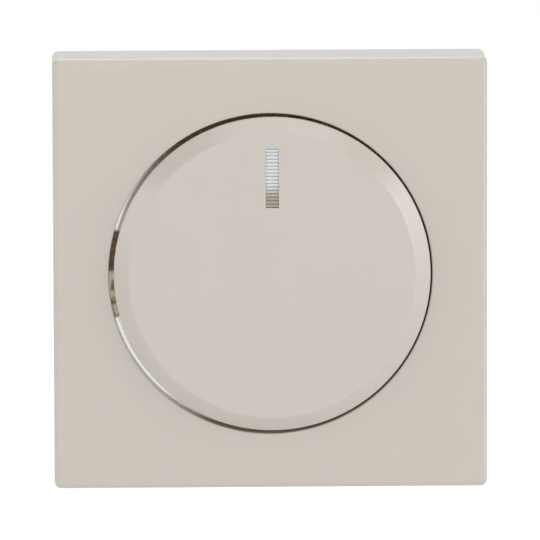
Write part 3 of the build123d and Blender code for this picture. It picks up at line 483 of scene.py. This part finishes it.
def circuit_laminate(name, colour):
    """Solder mask over copper traces: a grid of wandering lines stands a little proud."""
    finish = Finish(name, IOR=PLASTIC, Coat_Weight=0.4)
    x, _, z = finish.axes()
    wander = finish.noise(6 * MM, 0.0) * 5.0
    row, column = [((across * (1.0 / (pitch * MM)) + wander).reckon("FRACT") - 0.5).reckon("ABSOLUTE")
                   for across, pitch in ((z, ROW_PITCH), (x, COLUMN_PITCH))]
    trace = row.reckon("MINIMUM", column).above(0.13, 0.03)
    finish.colour(finish.mix(trace, shade(colour, 1.35), shade(colour, 0.85)))
    finish.roughness(finish.noise(0.5 * MM) * 0.15 + 0.25)
    finish.bump(1.0 - trace, 0.03 * MM)
    return finish.material


def speckled_coat(name, colour, speck, roughness, size):
    """Painted or lacquered part with specks of another colour showing."""
    finish = Finish(name, IOR=PLASTIC)
    specks = finish.cells(size * MM)
    mask = 1.0 - specks.above(0.18, 0.1)
    finish.colour(finish.mix(mask * 0.5, shade(colour, 1.0), shade(speck, 1.0)))
    finish.roughness(finish.noise(0.8 * MM) * 0.15 + (roughness - 0.07))
    finish.bump(finish.noise(0.6 * MM, 3.0) + mask * 0.3, 0.012 * MM)
    return finish.material


# %% [markdown]
# ## One finish for each slot
# The record gives every piece a material slot, so one table from slot to finish covers the whole
# device. Two pieces that share a slot share a finish. The colours are those such parts usually have:
# blue sleeves, yellow film boxes and cores, brown phenolic, and grey housings that a wall box hides.

# %% One finish for each material slot
FINISHES = {
    "beige_cover": gloss_moulding("beige_cover_gloss", BEIGE, 0.24),
    "beige_knob": gloss_moulding("beige_knob_gloss", KNOB_BEIGE, 0.26),
    "clear_guide": ribbed_guide("ribbed_guide_resin"),
    "clear_ring": ring_with_painted_light("ring_painted_gap_light"),
    "dark_moulding": flowed_moulding("brown_hub_moulding", (0.10, 0.065, 0.045)),
    "spring_steel": lined_metal("rolled_spring_steel", (0.42, 0.41, 0.40), "y", 0.30),
    "turned_steel": lined_metal("turned_shaft_steel", (0.62, 0.61, 0.60), "x", 0.25),
    "nickel_brass": plated_metal("nickel_on_brass", (0.78, 0.73, 0.64), 0.22, 0.3),
    "phenolic": flowed_moulding("phenolic_moulding", (0.13, 0.065, 0.035), 0.35),
    "carbon_track": speckled_coat("printed_carbon", (0.025, 0.025, 0.027), (0.10, 0.10, 0.10),
                                  0.5, 0.1),
    "contact_bronze": plated_metal("stamped_bronze", (0.80, 0.55, 0.30), 0.25, 0.6),
    "contact_silver": plated_metal("silver_rivets", (0.90, 0.89, 0.87), 0.2, 0.2),
    "tinned_copper": plated_metal("tinned_legs", (0.72, 0.71, 0.70), 0.35, 0.15),
    "grey_housing": eroded_moulding("grey_housing_skin", (0.32, 0.325, 0.33)),
    "grey_drawer": eroded_moulding("dark_drawer_skin", (0.09, 0.095, 0.10), 0.5),
    "plated_screws": plated_metal("zinc_screws", (0.52, 0.52, 0.49), 0.36, 0.2),
    "board_laminate": circuit_laminate("green_board", (0.035, 0.17, 0.085)),
    "lamp_lens": clear_moulding("amber_lamp_resin", (0.98, 0.72, 0.36), 0.15),
    "white_moulding": flowed_moulding("white_inner_moulding", (0.74, 0.73, 0.69), 0.45),
    "chip_epoxy": eroded_moulding("black_epoxy", (0.03, 0.03, 0.033), 0.45, 0.08, 0.006),
    "sink_aluminium": lined_metal("rolled_aluminium", (0.78, 0.79, 0.80), "z", 0.35),
    "iron_powder": speckled_coat("painted_iron_powder", (0.70, 0.55, 0.06), (0.45, 0.35, 0.05),
                                 0.5, 0.2),
    "enamelled_wire": lined_metal("enamelled_copper", (0.60, 0.22, 0.09), "y", 0.25),
    "capacitor_box": gloss_moulding("yellow_capacitor_box", (0.68, 0.50, 0.06), 0.3, 0.01),
    "capacitor_sleeve": gloss_moulding("blue_shrink_sleeve", (0.03, 0.05, 0.14), 0.3, 0.02),
    "resistor_lacquer": speckled_coat("resistor_lacquer", (0.25, 0.50, 0.62), (0.18, 0.38, 0.50),
                                      0.35, 0.3),
    "fuse_glass": clear_moulding("fuse_glass_tube", (0.94, 0.97, 0.96), 0.01),
    "fuse_glass_tinted": clear_moulding("diode_glass", (0.85, 0.40, 0.22), 0.05),
    "cage_steel": plated_metal("yellow_zinc_cage", (0.76, 0.70, 0.50), 0.3, 0.25),
}
for part in frame["record"]["subparts"]:
    slots = frame["nodes"][part["node"]].data.materials
    slots.clear()
    slots.append(FINISHES[part["material_slot"]])

# %% [markdown]
# ## Surfaces from arrays
# Every new piece is one or more grids of points, worked out in millimetres. A moulding is a stack of
# loops, a turned part is an outline swept round the axis, and a spring is a ring carried along a
# path. Rounded corners get one extra point on each side of the arc, so the flat faces next to them
# shade as flat. The faces of a grid follow from its shape alone, so one function makes them all.

# %% Outlines, loops and grids
def rounded(corners, radii, steps=6, support=0.04):
    """A closed 2-D outline with rounded corners.

    The arc of a corner with radius r and half angle h starts r / tan(h) before the corner. Its points
    are the centre plus (start sin(s - t) + end sin(t)) / sin(s), while t grows from 0 to the sweep s."""
    corners = np.asarray(corners, float)
    outline = []
    before, behind = np.roll(corners, 1, 0), np.roll(corners, -1, 0)
    for corner, last, after, radius in zip(corners, before, behind, radii):
        if radius == 0:
            outline.append(corner[None])
            continue
        back = (last - corner) / np.linalg.norm(last - corner)
        onward = (after - corner) / np.linalg.norm(after - corner)
        half = np.arccos(back @ onward) / 2
        reach = radius / np.tan(half)
        centre = corner + (back + onward) / np.linalg.norm(back + onward) * radius / np.sin(half)
        start, end = corner + back * reach - centre, corner + onward * reach - centre
        sweep = np.pi - 2 * half
        turn = np.linspace(0, sweep, steps + 1)[:, None]
        arc = (start * np.sin(sweep - turn) + end * np.sin(turn)) / np.sin(sweep) + centre
        flat = reach + support
        outline += [corner[None] + back * flat, arc, corner[None] + onward * flat]
    return np.concatenate(outline)


def lofted(rows):
    """A grid from (loop, y) rows. A loop holds one complex number x + iz for each column."""
    return np.stack([np.stack([loop.real, np.full(len(loop), y), loop.imag], -1) for loop, y in rows])


def turned(outline, columns=96, x=0.0, z=0.0):
    """Outline points (r, y) turned about Y: each row is the circle x + r cos a, z + r sin a."""
    spokes = np.exp(2j * np.pi * np.arange(columns) / columns)
    return lofted([(radius * spokes + complex(x, z), y) for radius, y in outline])


def extruded(outline, low, high, edge=0.0):
    """Outline points (x, y) stood up along Z from low to high, drawn in by edge at both ends."""
    middle = outline.mean(0)
    drawn = outline + (middle - outline) / np.linalg.norm(middle - outline, axis=1)[:, None] * edge
    rows = [(drawn, low), (outline, low + edge), (outline, high - edge), (drawn, high)]
    return np.stack([np.column_stack([row, np.full(len(row), z)]) for row, z in rows])


def tube(path, away, radius, columns=12):
    """A round wire: path + radius (cos b N + sin b B), with N near the away direction, B across it."""
    along = np.gradient(path, axis=0)
    across = np.cross(along, away)
    across /= np.linalg.norm(across, axis=1)[:, None]
    normal = np.cross(across, along)
    normal /= np.linalg.norm(normal, axis=1)[:, None]
    angle = (2 * np.pi * np.arange(columns) / columns)[None, :, None]
    return path[:, None] + radius * (np.cos(angle) * normal[:, None] + np.sin(angle) * across[:, None])


def grid_faces(rows, columns, first, along):
    """Corner numbers of a grid's faces. Face (i, j) joins columns j and j + 1 of rows i and i + 1."""
    i, j = np.meshgrid(np.arange(rows if along else rows - 1), np.arange(columns), indexing="ij")
    beside, below = (j + 1) % columns, (i + 1) % rows
    corners = [i * columns + j, i * columns + beside, below * columns + beside, below * columns + j]
    return (np.stack(corners, -1).reshape(-1, 4) + first).tolist()


def make_piece(name, body, slot, stands_for, grids, sharp=32):
    """An object from grids in millimetres, each closed on itself or by a face at each end."""
    faces, first = [], 0
    for grid, along in grids:
        rows, columns = grid.shape[:2]
        faces += grid_faces(rows, columns, first, along)
        if not along:
            faces += [list(range(first, first + columns))]
            faces += [list(range(first + (rows - 1) * columns, first + rows * columns))]
        first += rows * columns
    mesh = bpy.data.meshes.new(name)
    mesh.from_pydata(np.concatenate([grid.reshape(-1, 3) for grid, _ in grids]) * MM, [], faces)
    shell = bmesh.new()
    shell.from_mesh(mesh)
    bmesh.ops.recalc_face_normals(shell, faces=shell.faces)
    shell.to_mesh(mesh)
    shell.free()
    mesh.shade_smooth()
    mesh.set_sharp_from_angle(angle=math.radians(sharp))
    mesh.materials.append(FINISHES[slot])
    piece = bpy.data.objects.new(name, mesh)
    bpy.context.scene.collection.objects.link(piece)
    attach(piece, body)
    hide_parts(*stands_for)
    print(name, len(mesh.polygons), "faces")
    return piece


# %% [markdown]
# ## Cover plate
# The plate is a shallow tray moulded in one shot, with a round hole and a collar behind it. Its
# section is one closed line: over the front, round the rim, down the skirt, back inside and up the
# collar. Carried round from a circle to a square, that line makes the whole plate without a seam.
# The columns crowd together at the corners, where the square turns. Four small hooks hold the plate
# on the flange behind it, each with a lead-in slope that lets it ride over the claw.

# %% Cover plate
PLATE_HALF, PLATE_CORNER, PLATE_EDGE = 22.4, 0.7, 0.6
PLATE_FRONT_Y, PLATE_FLOOR_Y, COLLAR_BACK_Y = -7.0, -5.0, -3.2
PLATE_INNER, HOLE, COLLAR = 21.1, 16.7, 17.6
PLATE_SHIFT = -0.18
HOOKS_X, HOOK_HALF = (-12.0, 12.0), 2.3
SWEEP = math.radians(43.5)
SIDE_COLUMNS, CORNER_COLUMNS = 56, 8
side_angle = np.linspace(-SWEEP, SWEEP, SIDE_COLUMNS, endpoint=False)
corner_turn = np.linspace(0, 1, CORNER_COLUMNS, endpoint=False)


def four_sides(x, z):
    """One side's points, turned on by a quarter for each of the four sides."""
    return np.concatenate([(x + 1j * z) * turn for turn in (1, 1j, -1, -1j)])


def square_loop(half, radius):
    """A square with rounded corners: z grows as tan(angle) along a side, then the corner is an arc."""
    arc = corner_turn * np.pi / 2
    x = np.concatenate([np.full(len(side_angle), half), half - radius + radius * np.cos(arc)])
    side_z = np.tan(side_angle) / np.tan(SWEEP) * (half - radius)
    return four_sides(x, np.concatenate([side_z, half - radius + radius * np.sin(arc)]))


def circle_loop(radius):
    """A circle whose points lie on the same columns as the square's."""
    angle = np.concatenate([side_angle, SWEEP + corner_turn * (np.pi / 2 - 2 * SWEEP)])
    return four_sides(radius * np.cos(angle), radius * np.sin(angle))


def plate_grid():
    """The plate's section, as rows of circles and then rows of squares."""
    hole = rounded([(HOLE, COLLAR_BACK_Y), (HOLE, PLATE_FRONT_Y), (COLLAR, PLATE_FRONT_Y)], (0, 0.15, 0))
    rim = [(PLATE_HALF - PLATE_EDGE, PLATE_FRONT_Y), (PLATE_HALF, PLATE_FRONT_Y), (PLATE_HALF, 0),
           (PLATE_INNER, 0), (PLATE_INNER, PLATE_FLOOR_Y), (COLLAR, PLATE_FLOOR_Y)]
    square = rounded(rim, (0, PLATE_EDGE, 0.12, 0.12, 0.3, 0))[1:-1]
    collar = rounded([(HOLE, COLLAR_BACK_Y), (COLLAR + 3, PLATE_FLOOR_Y), (COLLAR, PLATE_FLOOR_Y),
                      (COLLAR, COLLAR_BACK_Y), (HOLE, COLLAR_BACK_Y)], (0, 0, 0.25, 0.1, 0))[2:-1]
    rows = [(circle_loop(radius), y) for radius, y in hole[:-1]]
    rows += [(square_loop(half, max(PLATE_CORNER - (PLATE_HALF - half), 0.12)), y) for half, y in square]
    rows += [(circle_loop(radius), y) for radius, y in collar]
    return lofted(rows) + (PLATE_SHIFT, 0, 0)


def hook_grids():
    """Four hooks inside the skirt. Each is a small ramp in Y and Z, extruded along X."""
    ramp = [(21.3, -2.6), (20.9, -2.6), (20.5, -2.2), (20.5, -1.8), (21.3, -1.8)]
    block = extruded(rounded(ramp, (0, 0.1, 0.1, 0.08, 0), 4), -HOOK_HALF, HOOK_HALF, 0.06)
    inward, depth, along = block[..., 0], block[..., 1], block[..., 2]
    grids = []
    for x in HOOKS_X:
        for side in (-1, 1):
            grids.append(np.stack([along + x + PLATE_SHIFT, depth, inward * side], -1))
    return grids


plate_grids = [(plate_grid(), True)] + [(grid, False) for grid in hook_grids()]
make_piece("cover_plate_moulding", "housing", "beige_cover", ["cover_plate"], plate_grids)

# %% [markdown]
# ## Knob cap
# The cap is a shallow bevelled disc with a slot near its edge for the window. A disc with one slot
# has the same form as a ring, so the cap is made like the plate: loops start as the slot's outline,
# open out across the face to a circle, round the bevel, and come back behind. Three pegs press into
# the hub.

# %% Knob cap
FACE, RIM, CAP_INNER = 14.8, 16.35, 14.75
FACE_Y, RIM_Y, CAP_BACK_Y, SKIRT_BACK_Y, PEG_BACK_Y = -8.5, -7.1, -7.1, -6.5, -4.3
SLOT_W, SLOT_LOW, SLOT_HIGH, SLOT_EDGE = 1.33, 7.08, 13.22, 0.02
PEG_CIRCLE, PEG, PEG_CHAMFER, PEG_ANGLES = 10.0, 0.8, 0.2, np.radians((30, 150, 270))
PEG_ROOT_Y = CAP_BACK_Y - 0.3
CAP_COLUMNS = 216
cap_spokes = np.linspace(0, 2 * np.pi, CAP_COLUMNS, endpoint=False)


def slot_loop(grow):
    """The slot's outline. A ray from its middle is cut where |x| or |z| first reaches a side."""
    half = np.array([SLOT_W, SLOT_HIGH - SLOT_LOW]) / 2
    ray = cap_spokes.copy()
    corner = math.atan2(half[1], half[0])
    for angle in (corner, np.pi - corner, np.pi + corner, 2 * np.pi - corner):
        ray[np.argmin(abs(ray - angle))] = angle
    unit = np.stack([np.cos(ray), np.sin(ray)], -1) / half
    unit /= abs(unit).max(1)[:, None]
    spread = unit * (half + grow)
    return spread[:, 0] + 1j * (spread[:, 1] + (SLOT_LOW + SLOT_HIGH) / 2)


def cap_grid():
    """The cap's section from the slot's front edge, over the rim, to the slot's rear edge."""
    corners = [(FACE - 1, FACE_Y), (FACE, FACE_Y), (RIM, RIM_Y), (RIM, SKIRT_BACK_Y),
               (CAP_INNER, SKIRT_BACK_Y), (CAP_INNER, CAP_BACK_Y), (FACE - 1, CAP_BACK_Y)]
    outline = rounded(corners, (0, 0.45, 0.2, 0.1, 0.1, 0.1, 0))[1:-1]
    circle = np.exp(1j * cap_spokes)
    lip = SLOT_EDGE * np.array([(0, 1), (0.3, 0.3), (1, 0), (2, 0)])
    rows = [(slot_loop(grow), FACE_Y + depth) for grow, depth in lip]
    rows += [(radius * circle, y) for radius, y in outline]
    rows += [(slot_loop(grow), CAP_BACK_Y - depth) for grow, depth in lip[::-1]]
    return lofted(rows)


def peg_grids():
    """Three pegs with chamfered tips, turned about their own axes."""
    grids = []
    outline = [(PEG, PEG_ROOT_Y), (PEG, PEG_BACK_Y - PEG_CHAMFER), (PEG - PEG_CHAMFER, PEG_BACK_Y)]
    for angle in PEG_ANGLES:
        grids.append(turned(outline, 24, PEG_CIRCLE * np.cos(angle), PEG_CIRCLE * np.sin(angle)))
    return grids


cap_grids = [(cap_grid(), True)] + [(grid, False) for grid in peg_grids()]
make_piece("knob_cap_moulding", "knob", "beige_knob", ["knob_cap"], cap_grids)

# %% [markdown]
# ## Clear ring
# The ring sits in the gap round the knob, and its finish paints its glow and highlights there. Its
# front carries a row of small prisms that throw the lamp's light forwards, and notches round the
# inner edge key it to the tool. Both come from one closed section whose radius and height depend
# on the angle.

# %% Clear ring
RING_OUTER, RING_INNER, RING_FRONT_Y, RING_BACK_Y = HOLE, 15.2, -4.7, -3.5
PRISMS, PRISM_COLUMNS, PRISM_HEIGHT, NOTCHES, NOTCH = 144, 6, 0.12, 12, 0.35


def ring_grid():
    """A closed section round the axis. The front drops by a triangle wave, and the inner edge by
    notches: sqrt(notch^2 - distance along the edge^2)."""
    angle = np.linspace(0, 2 * np.pi, PRISMS * PRISM_COLUMNS, endpoint=False)
    spokes = np.exp(1j * angle)
    wave = abs((angle * PRISMS / (2 * np.pi)) % 1 - 0.5) * 2 * PRISM_HEIGHT
    pitch = 2 * np.pi / NOTCHES
    away = (angle % pitch - pitch / 2) * RING_INNER
    notch = np.sqrt(np.clip(NOTCH ** 2 - away ** 2, 0, None))
    corners = [(RING_INNER, RING_FRONT_Y), (RING_OUTER, RING_FRONT_Y), (RING_OUTER, RING_BACK_Y),
               (RING_INNER, RING_BACK_Y)]
    rows = []
    for radius, y in rounded(corners, (0.1, 0.12, 0.1, 0.1), 3):
        inner = np.clip((RING_OUTER - radius) / (RING_OUTER - RING_INNER), 0, 1)
        front = np.clip((RING_BACK_Y - y) / (RING_BACK_Y - RING_FRONT_Y), 0, 1)
        loop = (radius + notch * inner) * spokes
        rows.append(np.stack([loop.real, y + wave * front, loop.imag], -1))
    return np.stack(rows) + (PLATE_SHIFT, 0, 0)


make_piece("light_ring_prisms", "housing", "clear_ring", ["light_ring"], [(ring_grid(), True)], 20)

# %% [markdown]
# ## Light guide and its window
# Inside the cap a clear ring gathers light, and a bar carries it to the ribbed window. The ribs are
# small prisms across the window, so each shows one bright and one shaded side. The ribbed block is
# an outline in Y and Z extruded across X.

# %% Light guide
GUIDE_OUTER, GUIDE_INNER, GUIDE_FRONT_Y, GUIDE_BACK_Y = 14.7, 13.75, -7.1, -5.3
WINDOW_W, RIB_DEPTH = 1.3, 0.16
BAR_W, BAR_LOW, BAR_HIGH, BAR_BACK_Y = 2.4, 6.6, 14.35, -5.9
BLOCK_BACK_Y = GUIDE_FRONT_Y + 0.5


def across_x(outline, width, edge):
    """A (z, y) outline extruded across X."""
    block = extruded(outline, -width / 2, width / 2, edge)
    return np.stack([block[..., 2], block[..., 1], block[..., 0]], -1)


def ribbed_outline():
    """Front ridges as a triangle wave in Z, then the block's back."""
    ridges = np.linspace(WINDOW_LOW, WINDOW_HIGH, 2 * RIBS + 1)
    depth = FACE_Y + RIB_DEPTH * (np.arange(2 * RIBS + 1) % 2 == 0)
    back = [(WINDOW_HIGH, BLOCK_BACK_Y), (WINDOW_LOW, BLOCK_BACK_Y)]
    return np.concatenate([np.column_stack([ridges, depth]), back])


guide_section = rounded([(GUIDE_INNER, GUIDE_FRONT_Y), (GUIDE_OUTER, GUIDE_FRONT_Y),
                         (GUIDE_OUTER, GUIDE_BACK_Y), (GUIDE_INNER, GUIDE_BACK_Y)], (0.08,) * 4, 3)
bar_section = rounded([(BAR_LOW, GUIDE_FRONT_Y), (BAR_HIGH, GUIDE_FRONT_Y), (BAR_HIGH, BAR_BACK_Y),
                       (BAR_LOW, BAR_BACK_Y)], (0.1,) * 4, 3)
guide_grids = [(turned(guide_section, 144), True), (across_x(bar_section, BAR_W, 0.08), False),
               (across_x(ribbed_outline(), WINDOW_W, 0.0), False)]
make_piece("light_guide_moulding", "knob", "clear_guide", ["light_guide"], guide_grids, 20)

# %% [markdown]
# ## Push spring
# The return spring is drawn wire coiled round a mandrel. Its end coils lie almost flat, so the pitch
# eases off towards both ends. It stands between the deck and the hub.

# %% Push spring
SPRING_RADIUS, SPRING_WIRE, SPRING_TURNS = 8.6, 0.35, 3.5
SPRING_POINTS = 420
HUB_WEB_Y, DECK_Y, PUSH = -4.3, 0.7, 1.5


def spring_grid():
    """A helix whose height is s - sin(2 pi s) / (4 pi), which climbs slowly at both ends."""
    share = np.linspace(0, 1, SPRING_POINTS)
    angle = share * SPRING_TURNS * 2 * np.pi
    climb = share - np.sin(2 * np.pi * share) / (4 * np.pi)
    away = np.stack([np.cos(angle), np.zeros_like(angle), np.sin(angle)], -1)
    path = away * SPRING_RADIUS
    path[:, 1] = HUB_WEB_Y + SPRING_WIRE + climb * (DECK_Y - HUB_WEB_Y - 2 * SPRING_WIRE)
    return tube(path, away, SPRING_WIRE, 14)


spring = make_piece("push_spring_coil", "housing", "spring_steel", ["push_spring"],
                    [(spring_grid(), False)])
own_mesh(spring)

# %% [markdown]
# ## Choke winding
# One enamelled wire is wound round the ring core, thirteen times. Each turn follows a squarish
# section, because the wire lies flat on the core's faces and bends at its edges. The whole winding
# is one tube on a path that circles the section and creeps round the ring.

# %% Choke winding
CHOKE_X, CHOKE_Y, CHOKE_Z, CHOKE_MIDDLE = 12.6, 13.8, 0.4, 3.9
CHOKE_TURNS, CHOKE_PITCH, WIRE = 13, math.radians(25), 0.32
FIRST_TURN = math.radians(30)
TURN_HALF_R, TURN_HALF_Y, SQUARENESS, WINDING_POINTS = 1.67, 2.36, 0.45, 1300
BOARD_BACK_Y = 10.3


def winding_grids():
    """The section is a squared circle: the cosine and sine, each with its size raised to a power
    below one."""
    turn = np.linspace(-np.pi / 2, (CHOKE_TURNS - 0.5) * 2 * np.pi - np.pi, WINDING_POINTS)
    squared = [np.sign(wave) * abs(wave) ** SQUARENESS for wave in (np.cos(turn), np.sin(turn))]
    angle = FIRST_TURN - turn / (2 * np.pi) * CHOKE_PITCH
    radial = np.stack([np.cos(angle), np.zeros_like(angle), np.sin(angle)], -1)
    radius = CHOKE_MIDDLE + TURN_HALF_R * squared[0]
    path = np.array([CHOKE_X, CHOKE_Y, CHOKE_Z]) + radial * radius[:, None]
    path[:, 1] += TURN_HALF_Y * squared[1]
    away = radial * np.cos(turn)[:, None] + np.array([0, 1.0, 0]) * np.sin(turn)[:, None]
    grids = [tube(path, away, WIRE, 10)]
    for x, y, z in (path[0], path[-1]):
        grids.append(turned([(WIRE, BOARD_BACK_Y), (WIRE, y)], 16, x, z))
    return grids


make_piece("choke_winding_wire", "housing", "enamelled_wire", ["choke_winding"],
           [(grid, False) for grid in winding_grids()], 60)

# %% [markdown]
# ## Latches
# Each latch is a strip of spring steel with two bends, a folded catch and a root rolled into an eye.
# The strip's bends are soft, because it is stamped flat first and folded after.

# %% Latches
BODY_SIDE, LATCH_THICK, LATCH_W, LATCH_ROOT_Y, LATCH_EYE = 20.0, 0.43, 8.0, 14.5, 0.45
BEND_Y, NOSE_Y, CATCH_Y, CATCH_THICK = 8.0, 3.0, 2.2, 0.5
CATCH_REACH, CATCH_INNER = 21.8, BODY_SIDE + 0.1
EYE_COLUMNS = 28


def latch_grids(side):
    """The strip's side view, rounded at its bends, and the eye, a round rod along Z."""
    middle = BODY_SIDE + LATCH_EYE + 0.05
    inner, outer = middle - LATCH_THICK / 2, middle + LATCH_THICK / 2
    corners = [(inner, LATCH_ROOT_Y), (outer, LATCH_ROOT_Y), (outer, BEND_Y), (CATCH_REACH, NOSE_Y),
               (CATCH_REACH, CATCH_Y), (CATCH_INNER, CATCH_Y), (CATCH_INNER, CATCH_Y + CATCH_THICK),
               (CATCH_REACH - 0.6, CATCH_Y + CATCH_THICK), (inner, BEND_Y + 0.1)]
    strip = rounded(corners, (0, 0, 0.8, 0.4, 0.35, 0.08, 0.08, 0.2, 0.6), 5, 0.02)
    leaf = extruded(strip * (side, 1), -LATCH_W / 2, LATCH_W / 2)
    circle = np.exp(2j * np.pi * np.arange(EYE_COLUMNS) / EYE_COLUMNS) * LATCH_EYE
    eye = np.column_stack([circle.real + side * middle, circle.imag + LATCH_ROOT_Y])
    return [(leaf, False), (extruded(eye, -LATCH_W / 2, LATCH_W / 2, 0.05), False)]


for name, side in (("left", -1), ("right", 1)):
    make_piece(name + "_latch_strip", name + "_latch", "spring_steel", ["latch_" + name],
               latch_grids(side))
